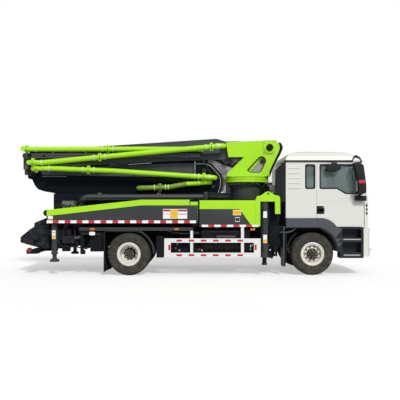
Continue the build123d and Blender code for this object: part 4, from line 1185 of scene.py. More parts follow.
class CabInterior:
    """Seats, dashboard, wheel and floor mat, seen through the glass."""

    SEATS = {"right": -620, "left": 620}
    WHEEL_HUB = (3830, 620, 2110)
    WHEEL_LEAN = math.radians(-28)
    WHEEL_RADIUS = 225
    # Spans of X, of Y from the seat's middle, and of Z, and the squareness of the seat's cushions
    CUSHIONS = (
        ((3000, 3490), (-245, 245), (1540, 1702), 4),
        ((3010, 3480), (-260, -150), (1560, 1722), 3),
        ((3010, 3480), (150, 260), (1560, 1722), 3),
        ((2896, 3046), (-235, 235), (1640, 2290), 4),
        ((2920, 3078), (-242, -138), (1680, 2180), 3),
        ((2920, 3078), (138, 242), (1680, 2180), 3),
        ((2910, 3030), (-140, 140), (2300, 2480), 3),
    )

    def build(self) -> None:
        """Build the trim and the padded seats."""
        trim = Shape("cab_trim", TRIM_PLASTIC)
        trim.plate(softened([(3950, 1500), (4330, 1500), (4380, 2040), (4120, 2080), (3960, 2000),
                             (3900, 1800)], 40), -1080, 1080, edge=16)
        trim.block((3880, 3965), (380, 860), (1900, 2010), 20)
        for y in self.SEATS.values():
            trim.use(TRIM_PLASTIC).block((3020, 3440), (y - 210, y + 210), (1310, 1540), 20)
            trim.use(BLACK_RUBBER).tube([(2940, y + 262, 2120), (3010, y + 268, 1980),
                                         (3060, y + 268, 1560)], 14)
        trim.block((2420, 4250), (-1080, 1080), (1301, 1312))
        self._wheel(trim.use(GRAINED_BLACK))
        for y in (-430, -330, 330):
            trim.rod((3900, y, 2008), (3900, y, 2030), 24)
        trim.use(SEAT_CLOTH).block((2400, 2440), (-1040, 1040), (1620, 1760), 16)
        piece = trim.rides("chassis")
        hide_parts("cab_interior")
        for word, middle in self.SEATS.items():
            seat = Shape(f"seat_{word}", SEAT_CLOTH)
            for x, y, z, square in self.CUSHIONS:
                seat.pad(x, (middle + y[0], middle + y[1]), z, square)
            for y in (middle - 70, middle + 70):
                seat.use(ZINC).rod((2968, y, 2270), (2968, y, 2330), 8)
            made = seat.rides("chassis")

    def _wheel(self, shape: Shape) -> None:
        """Add the steering wheel: rim, column, hub and three spokes."""
        axis = Vector((math.sin(self.WHEEL_LEAN), 0, math.cos(self.WHEEL_LEAN)))
        hub = Vector(self.WHEEL_HUB)
        side = Vector((0, 1, 0))
        up = side.cross(axis)
        turns = [math.tau * i / 40 for i in range(41)]
        shape.sweep([hub + (side * math.cos(a) + up * math.sin(a)) * self.WHEEL_RADIUS for a in turns],
                    [16] * 41, 12)
        shape.rod(hub - axis * 260, hub + axis * 4, 34, 28)
        shape.rod(hub - axis * 12, hub + axis * 14, 66, 58)
        for a in (0.0, math.pi * 0.66, math.pi * 1.34):
            shape.rod(hub, hub + (side * math.sin(a) - up * math.cos(a)) * 222, 15, 11, 10)


class DeliveryPipes:
    """Coupling rings, clamps and brackets along the concrete pipes."""

    @dataclass(frozen=True)
    class Run:
        """One pipe line.

        Attributes:
            name: Name of its piece.
            body: Body that it rides on.
            line: Middle line.
            rings: X of single coupling rings.
            joints: X of clamped joints, and of those at the bends.
            held: X of the brackets.
            arm_y: Y of the arm's side that carries the brackets, or 0 where there are none.
            paint: Finish of the clamps.
        """

        name: str
        body: str
        line: tuple[Point, ...]
        rings: tuple[float, ...]
        joints: tuple[float, ...]
        held: tuple[float, ...]
        arm_y: float
        paint: Finish = LIME_ENAMEL

    RUNS = (
        Run("pipe_1_couplings", "tip_arm", ((-4560, -372, 3325), (300, -372, 3325)),
            (-4255, 262), (-4505, -2302), (-3600, -1200, -200), -305),
        Run("pipe_2_couplings", "boom", ((-4370, -550, 2953), (-4053, -550, 2940), (-604, -550, 3269),
                                         (850, -550, 3400)),
            (-4048, 700), (-4285, -2489, 512), (-3300, -1300, -400), -262),
        Run("pipe_3_couplings", "boom", ((-4330, -500, 2790), (-3838, -500, 2790), (-2182, -500, 2726),
                                         (-13, -500, 2581), (610, -500, 2540)),
            (-3858, 49), (-4205, -2800, 311), (-3500, -1600, -900), -232),
        # The clamps of pipe 4 wear the darker lime too: painted shade with dust patches
        Run("pipe_4_couplings", "boom", ((-1477, -400, 2262), (-658, -400, 2285), (-155, -400, 2375),
                                         (480, -400, 2430)),
            (-658, 160), (-883,), (-1250, 380), -232, LIME_DULL),
        Run("deck_pipe_couplings", "chassis", ((-2880, -610, 2018), (500, -610, 2018)),
            (), (-2480, -900), (), 0, DULL_STEEL),
    )
    # Joints behind this X are at the bends, and have no rings beside them
    BENDS_X = -4000

    def build(self) -> None:
        """Dress every run."""
        for run in self.RUNS:
            shape = Shape(run.name, RING_STEEL)
            for x in run.rings:
                spot, way = spot_at(run.line, x)
                shape.use(RING_STEEL).rod(spot - way * 13, spot + way * 13, 82, sides=32)
            for x in run.joints:
                self._joint(shape, run, x)
            for x in run.held:
                self._bracket(shape, spot_at(run.line, x)[0], run.arm_y)
            shape.rides(run.body)

    def _joint(self, shape: Shape, run: "DeliveryPipes.Run", x: float) -> None:
        """Add a clamp with its ears and bolts, and a ring on either side of it."""
        spot, way = spot_at(run.line, x)
        for lean in (-1, 1) if x > self.BENDS_X else ():
            at = spot + way * 150 * lean
            shape.use(RING_STEEL if run.arm_y else DULL_STEEL).rod(at - way * 12, at + way * 12, 83, sides=32)
            shape.use(run.paint).rod(at - way * (12 + 34 * lean), at - way * (12 - 10 * lean), 76, sides=32)
        shape.use(run.paint).rod(spot - way * 40, spot + way * 40, 88, sides=32)
        for rise in (92, -92):
            ear = spot + Vector((0, 0, rise))
            shape.use(run.paint).rod(ear - way * 30, ear + way * 30, 20, sides=10)
            shape.use(ZINC).rod(ear - way * 46, ear + way * 46, 10, sides=6)
        shape.use(CAST_IRON).rod(spot + Vector((0, -70, 60)), spot + Vector((0, -84, -60)), 11)

    @staticmethod
    def _bracket(shape: Shape, spot: Vector, arm_y: float) -> None:
        """Add a bracket from the arm's side to beyond the pipe."""
        shape.use(GREY_ENAMEL).block((spot.x - 22, spot.x + 22), tuple(sorted((spot.y + 74, arm_y))),
                                     (spot.z - 20, spot.z + 20), 3)


class Boom:
    """Chords, joints, hoses and cylinders of the folded arms."""

    ARM_1_TOP = ((-4452, 3285), (657, 3618), (880, 3546))
    ARM_1_LOW = ((990, 3058), (-618, 3012), (-1990, 2936), (-4318, 2806))
    ARM_2_LOW = ((-4526, 2560), (-4497, 2525), (-4409, 2508), (-4365, 2407), (-4321, 2320),
                 (-4234, 2232), (-4059, 2174), (-3823, 2136), (-3700, 2118), (690, 2118))
    ARM_2_TOP = ((96, 2530), (-1986, 2570), (-3437, 2595), (-4140, 2595))
    NOSE = ((100, 2944), (350, 2944), (497, 2889), (643, 2727), (744, 2612), (779, 2481),
            (760, 2289), (702, 2124))
    # Edge line, finish, width to its right, inner and outer Y, and rounding of each raised chord
    CHORDS = (
        (ARM_1_TOP, GREY_ENAMEL, 26, 262, 273, 3),
        (ARM_1_LOW, GREY_ENAMEL, 24, 262, 273, 3),
        (ARM_2_LOW, ARM_2_ENAMEL, -26, 232, 243, 0),
        (ARM_2_TOP, ARM_2_ENAMEL, -22, 232, 243, 0),
        (NOSE, VINYL_GREY, 14, 234, 247, 0),
    )
    # Dark plates between the arms, painted shade: they close the view where the arms shade each other
    SHADE_PLATES = (
        ((96, 2510), (-1986, 2550), (-3437, 2580), (-4140, 2580), (-4140, 2650), (-3400, 2640),
         (-1900, 2620), (100, 2580)),
        ((400, 2940), (-500, 2940), (-1900, 2870), (-4150, 2735), (-4300, 2830), (-1990, 2956),
         (-618, 3032), (540, 3068)),
    )
    # X, Z, Y of the near end, and radius of the joint pins
    PINS = ((-4400, 3110, -300, 74), (-4230, 3120, -296, 52), (-4480, 2660, -250, 60),
            (-4080, 3050, -290, 46), (330, 2760, -262, 64), (560, 2330, -256, 58))
    # Middle and radius of the round joint guard, and the rest of its outline
    GUARD = (300, 2460)
    GUARD_RADIUS = 400
    GUARD_BACK = ((455, 3188), (700, 3090), (860, 2985), (1110, 2965), (1110, 2660), (915, 2640), (915, 2130))

    def build(self) -> None:
        """Build the trim of each arm."""
        self._chords()
        self._guard()
        self._hinges()
        self._hoses()
        self._tip()

    def _chords(self) -> None:
        """Run raised chord flanges along the arms' edges."""
        shape = Shape("arm_chords", GREY_ENAMEL)
        for line, finish, wide, near, far, edge in self.CHORDS:
            shape.use(finish).plate(ribbon(line, 0, wide), -far, -near, edge=edge)
        shape.use(BLACK_RUBBER).plate(ribbon(self.NOSE, -62, -1), -247, -234)
        shape.boxes((GREY_ENAMEL, (x, x + 16), (-269, -262), (2990 + x * 0.02, 3200 + x * 0.05), 0)
                    for x in range(-3900, 500, 880))
        shape.doubled().use(CHASSIS_ENAMEL)
        for outline in self.SHADE_PLATES:
            shape.plate(outline, -60, 60)
        shape.plate([(-3823, 2137), (-3690, 2119), (-3690, 2116), (-3775, 2116)], -232, -200)
        # A light grey strip along arm 2's top edge: painted highlight where light catches the flange
        shape.use(VINYL_GREY).block((-4140, -3452), (-246, -238), (2583, 2592))
        shape.rides("boom")

    def _guard(self) -> None:
        """Set the ribbed guard round the joint of arms 2 and 3."""
        x, z = self.GUARD
        # The guard's pale grey is partly painted light, where the arms shade it
        fan = Shape("joint_ribs", FAN_GREY)
        fan.plate([*arc(self.GUARD, self.GUARD_RADIUS, -38, 78, 24), *self.GUARD_BACK], -212, -200)
        for start, radius, count in ((78, 725, 18), (13, 600, 15)):
            wedge = [(r * math.cos(math.radians(t)), r * math.sin(math.radians(t)))
                     for r, t in ((526, start), (526, start - 1), (radius, start - 0.8), (radius, start))]
            unit = Shape("rib", PANEL_GREY).plate(wedge, -230, -210)
            fan.repeated(unit, Repeat.RING, count, (0, math.radians(3.5), 0), (x, 0, z))
        fan.use(CHASSIS_ENAMEL).plate([(700, 3090), (860, 2985), (1130, 2890), (1130, 2830), (820, 2930),
                                       (560, 3060)], -236, -226)
        fan.use(FAN_GREY).plate([(1080, 3060), (1420, 3075), (1420, 3035), (1150, 2960), (1080, 2960)],
                                -230, -212)
        fan.rides("boom")

    def _hinges(self) -> None:
        """Set pins, link plates and fold cylinders at the arm joints."""
        shape = Shape("arm_hinges", ARM_2_ENAMEL)
        for x, z, y, radius in self.PINS:
            shape.use(ARM_2_ENAMEL).rod((x, y, z), (x, -y, z), radius, sides=32)
            shape.use(CAST_IRON).rod((x, y - 10, z), (x, y + 4, z), radius * 0.55, sides=24)
            shape.ring(stud((radius * 0.78, y, 0), (radius * 0.78, y - 8, 0), 6), 6, (x, 0, z))
        link = softened([(-4470, 3060), (-4180, 3070), (-4010, 3000), (-4010, 3080), (-4190, 3170),
                         (-4470, 3175)], 40)
        shape.use(ARM_2_ENAMEL).plate(link, -292, -268, edge=4).plate(link, 268, 292, edge=4)
        shape.rods((
            (GREY_ENAMEL, (-4080, 0, 3050), (-2900, 0, 2680), 74, 28),
            (GREY_ENAMEL, (-3900, -286, 2700), (-1760, -286, 2912), 30, 16),
            (CHROME, (-1760, -286, 2912), (-1120, -286, 2958), 14, 16),
            (LIME_ENAMEL, (-4382, -618, 2946), (-4382, -482, 2946), 60, 28),
        ))
        shape.use(DULL_STEEL).block((-2280, -2080), (-300, -262), (2880, 2980), 8)
        shape.block((-3010, -2900), (-262, -236), (2660, 2740), 6)
        shape.use(CHASSIS_ENAMEL).plate([(-4460, 2770), (-4320, 2770), (-4320, 2930), (-4440, 2930)],
                                        -300, -280)
        shape.use(ZINC).tube([(66, -300, 3010), (66, -318, 2900), (74, -300, 2600)], 7)
        shape.rides("boom")

    def _hoses(self) -> None:
        """Lay hydraulic lines along the arms and loops at the joints."""
        shape = Shape("boom_hoses", HOSE_RUBBER)
        lower = (0, 0, -26)
        shape.use(DULL_STEEL).tubes(4, lower, [(-4000, -284, 3090), (-1990, -284, 3135), (-618, -284, 3190),
                                               (700, -284, 3230)], 9)
        shape.use(HOSE_RUBBER).tubes(4, lower, [(-4000, -284, 3090), (-4300, -300, 3060), (-4500, -310, 2960),
                                                (-4480, -300, 2800), (-4300, -270, 2700)], 14, 110)
        shape.use(ARM_2_ENAMEL).tubes(4, (0, 0, -36.4), [(-4040, -250, 2470), (-1900, -250, 2440),
                                                         (80, -250, 2400)], 8)
        for x in (-3500, -2600, -1700, -800, 100):
            lift = 3105 + (x + 4000) * 0.026
            shape.use(GREY_ENAMEL).block((x - 20, x + 20), (-300, -262), (lift - 110, lift + 14), 3)
        shape.use(HOSE_RUBBER)
        for i in range(5):
            y = -300 + 34 * i
            shape.tube([(820, y, 3000), (900, y, 2940), (1010, y, 2950 - 12 * i), (1120, y, 3010)], 15, 60, 8)
        shape.tube([(240, -330, 3060), (330, -345, 2980), (420, -330, 2760), (600, -300, 2560)], 17, 90)
        shape.rides("boom")

    def _tip(self) -> None:
        """Add clips and the pivot's cap to the last arm."""
        shape = Shape("tip_arm_trim", GREY_ENAMEL)
        x, z = TIP_PIVOT
        shape.rods((
            (DULL_STEEL, (x, -452, z), (x, -438, z), 68, 24),
            (CAST_IRON, (x, -458, z), (x, -438, z), 44, 24),
            (CHASSIS_ENAMEL, (x + 520, -446, z - 6), (x + 520, -440, z - 6), 44, 20),
            (CHASSIS_ENAMEL, (x + 130, -470, z + 10), (x + 130, -400, z + 10), 52, 20),
        ))
        shape.use(DULL_STEEL).turned([(0, 42), (0, 74), (-26, 74), (-26, 42)], (x + 520, -440, z - 6),
                                     sides=32)
        shape.use(CHASSIS_ENAMEL).plate([(-4450, 3190), (-4320, 3190), (-4320, 3280), (-4430, 3280)],
                                        -372, -350)
        shape.ring(stud((56, -440, 0), (56, -448, 0), 7), 6, (x, 0, z))
        clip = Shape("clip", GREY_ENAMEL).block((0, 34), (-446, -300), (3070, 3262), 4)
        shape.row(clip, 5, (900, 0, 0), (-3800, 0, 0))
        shape.use(DULL_STEEL).tube([(-4480, -446, 3150), (150, -446, 3160)], 8, 20, 8)
        shape.rides("tip_arm")


class SlewColumn:
    """Bolts, boss plates, hose guard and motor round the slewing ring."""

    # Outline of the triangular opening in the turret's cheeks
    OPENING = ((1485, 2765), (1515, 2708), (1600, 2682), (1815, 2684), (1845, 2700), (1885, 2750),
               (1995, 2985), (1985, 3055), (1930, 3118), (1850, 3125), (1790, 3095))
    RING_BOLTS = 44
    FOOT_BOLTS = 36

    def build(self) -> None:
        """Build what turns with the turret and what stays."""
        self._turret()
        self._pedestal()

    def _turret(self) -> None:
        """Dress the turret's cheeks, the slewing ring and the hoses behind it."""
        shape = Shape("turret_trim", LIME_ENAMEL)
        self._cheek(shape)
        shape.doubled().use(LIME_SHADE)
        # The slewing ring's rims wear the darker lime: painted shade
        for radius, high, z in ((613, 9, 2494), (615, 14, 2552)):
            shape.turned([(0, 609), (0, radius), (high, radius), (high, 609)], (SLEW_X, 0, z), Across.Z, 96)
        shape.ring(stud((575, 0, 2578), (575, 0, 2596), 13), self.RING_BOLTS, (SLEW_X, 0, 0), Across.Z)
        line = [(2335, 3460), (2410, 3520), (2470, 3390), (2400, 3215), (2310, 3060), (2180, 2800),
                (2110, 2600)]
        shape.use(HOSE_RUBBER).tubes(6, (0, 76, 0), [(x, -190, z) for x, z in line], 30, 110, 10)
        shape.use(GRAINED_BLACK).block((2303, 2353), (-345, 345), (3425, 3485), 6)
        for x, z in ((2392, 3222), (2275, 2985), (2160, 2755)):
            shape.block((x - 50, x + 20), (-236, 236), (z - 16, z + 16), 4)
        shape.rides("turret")

    def _cheek(self, shape: Shape) -> None:
        """Dress the right-hand cheek: boss plate, pivot cap, opening and stiffeners."""
        x, z = LIFT_PIVOT
        boss = softened([(x - 175, z - 165), (x + 60, z - 185), (x + 158, z - 60), (x + 158, z + 60),
                         (x + 110, z + 165), (x - 175, z + 150)], 30)
        shape.plate(boss, -428, -418, edge=4)
        shape.rods((CAST_IRON, (x + dx, -424, z + dz), (x + dx, -437, z + dz), 13, 6)
                   for dx, dz in ((-145, 122), (-145, -140), (96, 128), (92, -118)))
        shape.rods(((BLACK_RUBBER, (x, -440, z), (x, -478, z), 95, 40),
                    (BLACK_RUBBER, (x, -478, z), (x, -486, z), 52, 6),
                    (GRAINED_BLACK, (1900, -300, 2990), (1900, -330, 2990), 34, 20)))
        # A band of darker lime round the boss plate: painted shade at its edge
        shape.use(LIME_SHADE).band(oblong((x - 182, x + 130), (z - 190, z + 178)),
                                   oblong((x - 174, x + 122), (z - 182, z + 170)), -421, -417)
        # The opening's inner walls are painted near-black: painted shade
        shape.use(CHASSIS_ENAMEL).band(softened(grown(self.OPENING, 3), 30),
                                       softened(grown(self.OPENING, -13), 24), -420, -345)
        shape.use(LIME_ENAMEL).plate(ribbon([(930, 2655), (1396, 3098)], 4, 26), -425, -419)
        shape.plate(ribbon([(2036, 2590), (2162, 2888), (2334, 3252)], -4, -30), -425, -419)
        shape.plate([(1440, 2690), (1560, 2680), (1890, 3060), (1830, 3130)], -312, -300)
        shape.use(FAN_GREY).plate([(1480, 2582), (2055, 2582), (2055, 2860), (2040, 3150), (1900, 3150),
                                   (1480, 2700)], -274, -262)

    def _pedestal(self) -> None:
        """Dress the pedestal: rims, gussets, nuts, the slewing motor and its hoses."""
        base = Shape("pedestal_trim", PANEL_GREY)
        for radius, high, z in ((500, 26, 2388), (446, 480, 1905)):
            base.turned([(0, 423), (0, radius), (high, radius), (high, 423)], (SLEW_X, 0, z), Across.Z, 80)
        base.boxes((
            (FAN_GREY, (897, 1060), (-12, 0), (2118, 2424), 0),
            (CHASSIS_ENAMEL, (1850, 2180), (-330, -250), (1930, 2400), 10),
            (CHASSIS_ENAMEL, (1940, 2060), (-480, -330), (1930, 2250), 10),
            (FAN_GREY, (2085, 2235), (-490, -330), (2160, 2345), 18),
        ))
        base.rods(((GREY_ENAMEL, (2085, -400, 2290), (2085, -400, 2414), 78, 28),
                   (BLACK_RUBBER, (2085, -400, 2170), (2085, -400, 2290), 56, 24)))
        base.ring(stud((470, 0, 2370), (470, 0, 2390), 13), self.FOOT_BOLTS, (SLEW_X, 0, 0), Across.Z)
        base.use(HOSE_RUBBER).tubes(3, (0, 40, 0), [(2150, -430, 2230), (2215, -430, 2200),
                                                    (2225, -430, 2000), (2225, -430, 1800)], 14)
        gusset = Shape("gusset", PANEL_GREY).plate([(424, 1905), (520, 1905), (424, 2080)], -9, 9)
        base.ring(gusset, 10, (SLEW_X, 0, 0), Across.Z)
        base.rides("chassis")


class Hopper:
    """Ribs, flap, motor and lamps of the hopper."""

    RIM = ((-4495, 967), (-4231, 1182), (-4032, 1290), (-3800, 1416))
    BOTTOM = ((-4495, 830), (-4312, 776), (-4032, 700), (-3849, 660))
    # Grease line on the hopper's side
    LINE = ((-4230, 915, 1150), (-4190, 925, 1010), (-4110, 925, 850), (-3960, 918, 760),
            (-3850, 915, 780))
    # Finish, ends, radius and sides of the agitator's motor and of the lamp's body
    RODS = (
        (HOPPER_ENAMEL, (-4060, -900, 960), (-4060, -930, 960), 120, 32),
        (HOPPER_ENAMEL, (-4060, -930, 960), (-4060, -1010, 960), 66, 24),
        (GRAINED_BLACK, (-4176, -1150, 642), (-4176, -1186, 642), 66, 20),
    )

    def build(self) -> None:
        """Build the trim on both sides."""
        shape = Shape("hopper_trim", HOPPER_ENAMEL)
        shape.plate(ribbon(self.RIM, 0, 40), -912, -898, edge=3)
        shape.plate(ribbon(self.BOTTOM, -34, 0), -912, -898, edge=3)
        for back in (0, 170, 340):
            shape.block((-4330 + back, -4312 + back), (-912, -898), (790 - back * 0.25, 1080 + back * 0.62))
        shape.rods(self.RODS).use(LENS_RED).rod((-4176, -1186, 642), (-4176, -1198, 642), 58, 46)
        shape.ring(stud((96, -928, 0), (96, -942, 0), 10, HOPPER_ENAMEL), 8, (-4060, 0, 960))
        shape.use(GRAINED_BLACK).block((-4246, -3990), (-1176, -860), (548, 560), 2)
        shape.doubled()
        for sign in (-1, 1):
            shape.use(DULL_STEEL).tube([(x, sign * y, z) for x, y, z in self.LINE], 7, 60, 8)
        shape.use(BLACK_RUBBER).plate([(-4150, 1318), (-4110, 1292), (-3812, 1424), (-3822, 1462)],
                                      -880, 880, edge=4)
        shape.rides("chassis")


class Underbody:
    """Straps, boxes, lines and flaps under the deck."""

    # X, Z and radius of the round ends of valves and caps along the frame
    CAPS = ((-430, 690, 30), (-330, 640, 20), (30, 760, 26), (180, 660, 40), (250, 640, 22),
            (1490, 700, 30), (1540, 780, 18), (-380, 800, 16))
    # Finish, spans of X, Y and Z, and edge
    BOXES = (
        (BLACK_RUBBER, (-917, -739), (-1214, -758), (955, 1004), 10),
        (BLACK_RUBBER, (-905, -750), (-1219, -1208), (700, 722), 3),
        (HOPPER_ENAMEL, (-3350, -3035), (-1150, -900), (815, 1005), 14),
        (CHASSIS_ENAMEL, (-2885, -2790), (-1130, -1090), (540, 1130), 8),
        (CHASSIS_ENAMEL, (-2870, -2760), (-1140, -1060), (535, 640), 8),
        (CHASSIS_ENAMEL, (-2630, -2310), (-1120, -760), (600, 1110), 14),
        (CHASSIS_ENAMEL, (-3380, -3180), (-1040, -900), (600, 790), 14),
        (CHASSIS_ENAMEL, (-3760, -3120), (-1080, -700), (1010, 1180), 10),
        (CHASSIS_ENAMEL, (-560, 210), (-1100, -1060), (1040, 1120), 6),
        (CHASSIS_ENAMEL, (-610, 1640), (-1105, -1045), (572, 640), 2),
        (CHASSIS_ENAMEL, (-610, 260), (-1095, -1045), (630, 720), 2),
    )
    # Finish, ends, radius and sides of the tank's cap and of the pump behind the wheel
    RODS = (
        (CAST_IRON, (640, -1100, 1180), (640, -1100, 1215), 52, 24),
        (DULL_STEEL, (-3035, -1100, 950), (-2900, -1100, 970), 42, 20),
        (VINYL_RED, (-2900, -1100, 970), (-2880, -1100, 972), 30, 20),
    )
    # Outline of the dark plate behind the rear leg: painted shade that closes the view under the deck
    SHADE_BACKING = ((-3790, 1240), (-3790, 760), (-3560, 690), (-3330, 640), (-3060, 700), (-2900, 600),
               (-2780, 640), (-2680, 760), (-2600, 700), (-2350, 640), (-2350, 1240))
    # Outline of the flap behind the rear wheels
    FLAP = ((-2262, 960), (-2262, 600), (-2245, 400), (-2190, 140), (-2165, 130), (-2212, 400),
            (-2238, 600), (-2238, 960))

    def build(self) -> None:
        """Build both sides."""
        for side in Side:
            shape = Shape(f"underbody_{side.word}", TANK_BLACK)
            for x in (330, 860, 1380):
                shape.block((x, x + 46), (-1175, -1168), (616, 1184))
                shape.block((x, x + 46), (-1172, -600), (1180, 1186))
            for x in (-440, -60):
                shape.use(CAST_IRON).turned([(0, 129), (0, 134), (34, 134), (34, 129)], (x, -660, 780),
                                            Across.X, 40)
            shape.rods((VINYL_GREY if radius < 24 else CAST_IRON, (x, -1190, z), (x, -1140, z), radius, 12)
                       for x, z, radius in self.CAPS)
            fin = Shape("fin", GRAINED_BLACK).block((-900, -892), (-1222, -1206), (480, 940))
            shape.row(fin, 6, (29, 0, 0)).boxes(self.BOXES).rods(self.RODS)
            # Dark plate under the deck: painted shade
            shape.use(CHASSIS_ENAMEL).plate(self.SHADE_BACKING, -420, -380)
            self._lines(shape)
            self._flap(shape)
            shape.flipped(side).rides("chassis")

    @staticmethod
    def _lines(shape: Shape) -> None:
        """Lay the hoses and pipes under the deck."""
        shape.use(HOSE_RUBBER)
        for i in range(5):
            x = -3500 + 150 * i
            shape.tube([(x, -1060, 1180), (x + 20, -1075 - 6 * i, 1000), (x + 90, -1075, 760 - 20 * i),
                        (x + 190, -1050, 700), (x + 260, -1020, 900)], 15, 70, 8)
        shape.use(DULL_STEEL).tubes(3, (0, 0, -30), [(-2860, -1150, 1120), (-2400, -1150, 1105),
                                                     (-2300, -1100, 1080)], 9, 40)
        shape.tube([(-640, -1140, 1130), (-300, -1150, 1070), (160, -1150, 1080)], 12)

    def _flap(self, shape: Shape) -> None:
        """Hang the flap behind the rear wheels, with the mudguard's lip above the tyre."""
        shape.use(BLACK_RUBBER).plate(self.FLAP, -1225, -640)
        shape.plate([(-2196, 150), (-2140, 130), (-2080, 330), (-2150, 640)], -1010, -640)
        axle = (REAR_AXLE_X, WHEEL_Z)
        shape.use(PANEL_GREY).plate(arc(axle, 668, 2, 66, 20) + arc(axle, 612, 66, 2, 20), -1226, -1216)


class DeckTop:
    """Dark panels of painted shade, hoses and lines between the side boxes and the folded boom."""

    # Finish, spans of X, Y and Z, and edge
    BOXES = (
        # The first three rows are dark panels: painted shade that closes the view between the deck and the
        # folded boom
        (CHASSIS_ENAMEL, (-2860, 1055), (-330, -250), (1900, 2115), 2),
        (CHASSIS_ENAMEL, (-3738, -2860), (-330, -250), (2080, 2115), 2),
        (CHASSIS_ENAMEL, (-2900, 1600), (-556, -540), (1264, 1962), 4),
        (PANEL_GREY, (305, 405), (-740, -560), (1940, 2150), 8),
        (SEAM_AND_SHADE_LINE, (-3380, -3090), (-1004, -999), (1760, 1766), 0),
        (SEAM_AND_SHADE_LINE, (-3380, -3090), (-1004, -999), (1806, 1812), 0),
        (SEAM_AND_SHADE_LINE, (-3380, -3090), (-1004, -999), (1852, 1858), 0),
    )

    def build(self) -> None:
        """Build the panels and the lines."""
        shape = Shape("deck_top", CHASSIS_ENAMEL).boxes(self.BOXES)
        rib = Shape("rib", CHASSIS_ENAMEL).block((-2800, -2780), (-346, -326), (1905, 2090), 3)
        shape.row(rib, 12, (255, 0, 0)).use(HOSE_RUBBER)
        for i in range(4):
            shape.tube([(-3120, -760 + 40 * i, 1800), (-2960, -740 + 40 * i, 1930),
                        (-2700, -700 + 36 * i, 1944), (-400, -700 + 36 * i, 1944),
                        (150, -700 + 36 * i, 1950), (380, -720 + 36 * i, 2030)], 21, 90, 8)
        for first, finish in enumerate((HOSE_RUBBER, CHASSIS_ENAMEL)):
            top = -42 * first
            shape.use(finish).tubes(2, (0, 0, -84), [(400, -730, 2120 + top), (700, -735, 2112 + top),
                                                     (1000, -700, 2120 + top), (1090, -560, 2100 + top)],
                                    14, 50)
        shape.use(HOSE_RUBBER)
        for i in range(5):
            x = -3590 + 90 * i
            shape.tube([(x, -1020, 1620), (x + 30, -1030, 1780 + 20 * (i % 3)), (x + 110, -1015, 1800),
                        (x + 150, -1000, 1640)], 14, 60, 8)
        shape.use(ZINC).rod((1860, -1000, 1900), (1860, -1000, 1925), 30)
        shape.rides("chassis")


class Studio:
    """Camera, lights, floor and backdrop."""

    @dataclass(frozen=True)
    class Sizes:
        """Sizes of the studio, in metres.

        Attributes:
            eye: Place of the camera.
            lens: Focal length in millimetres on a 36 mm sensor.
            shift: Shift of the picture plane.
            fill: Strength of the light from all round.
            sun: Strength of the soft main light.
            glow: Strength of the floor's own white for the eye.
            floor: Half of the floor's length.
        """

        eye: Point = (0.095, -14.15, 1.75)
        lens: float = 45.54
        shift: Flat = (0.010, 0.0175)
        fill: float = 0.46
        sun: float = 2.5
        glow: float = 0.45
        floor: float = 60.0

    def __init__(self) -> None:
        """Take the standard sizes."""
        self.sizes = self.Sizes()

    def build(self) -> None:
        """Build the camera, the lights and the floor."""
        self._camera()
        self._lights()
        self._world()
        self._floor()
        bpy.context.scene.view_settings.view_transform = "Standard"

    def _camera(self) -> None:
        """Set the camera at the photo's place, level and looking along Y."""
        data = bpy.data.cameras.new("camera")
        data.sensor_width = 36
        data.lens = self.sizes.lens
        data.shift_x, data.shift_y = self.sizes.shift
        data.clip_end = 200
        eye = bpy.data.objects.new("camera", data)
        eye.location = self.sizes.eye
        eye.rotation_euler = (math.radians(90), 0, 0)
        bpy.context.scene.collection.objects.link(eye)
        bpy.context.scene.camera = eye

    def _lights(self) -> None:
        """Set a soft main light from the right-hand front and above."""
        data = bpy.data.lights.new("main_light", "SUN")
        data.energy = self.sizes.sun
        data.angle = math.radians(12)
        light = bpy.data.objects.new("main_light", data)
        light.rotation_euler = (math.radians(44), math.radians(22), 0)
        bpy.context.scene.collection.objects.link(light)

    def _world(self) -> None:
        """Make the backdrop white for the eye and through glass, and softer as a light."""
        world = bpy.data.worlds.new("backdrop")
        world.use_nodes = True
        bpy.context.scene.world = world
        tree = world.node_tree
        path = add_node(tree, "ShaderNodeLightPath").outputs
        seen = maths(tree, "MAXIMUM", path["Is Camera Ray"], path["Is Transmission Ray"])
        feed(tree, tree.nodes["Background"], {
            "Color": linear("#FFFFFF"), "Strength": mapped(tree, seen, (0, 1), (self.sizes.fill, 1.0))})

    def _floor(self) -> None:
        """Lay a plain pale floor that keeps the shadow."""
        data = bpy.data.meshes.new("floor")
        half = self.sizes.floor
        data.from_pydata([(-half, -half, 0), (half, -half, 0), (half, half, 0), (-half, half, 0)],
                         [], [(0, 1, 2, 3)])
        paint = bpy.data.materials.new("floor_paint")
        paint.use_nodes = True
        tree = paint.node_tree
        place = add_node(tree, "ShaderNodeTexCoord").outputs["Object"]
        path = add_node(tree, "ShaderNodeLightPath").outputs
        feed(tree, tree.nodes["Principled BSDF"], {
            "Base Color": mixed(tree, noise(tree, place, 0.8), "#C8C8C8", "#C2C2C2"), "Roughness": 0.9,
            "Emission Color": linear("#FFFFFF"),
            "Emission Strength": maths(tree, "MULTIPLY", path["Is Camera Ray"], self.sizes.glow)})
        data.materials.append(paint)
        floor = bpy.data.objects.new("floor", data)
        bpy.context.scene.collection.objects.link(floor)


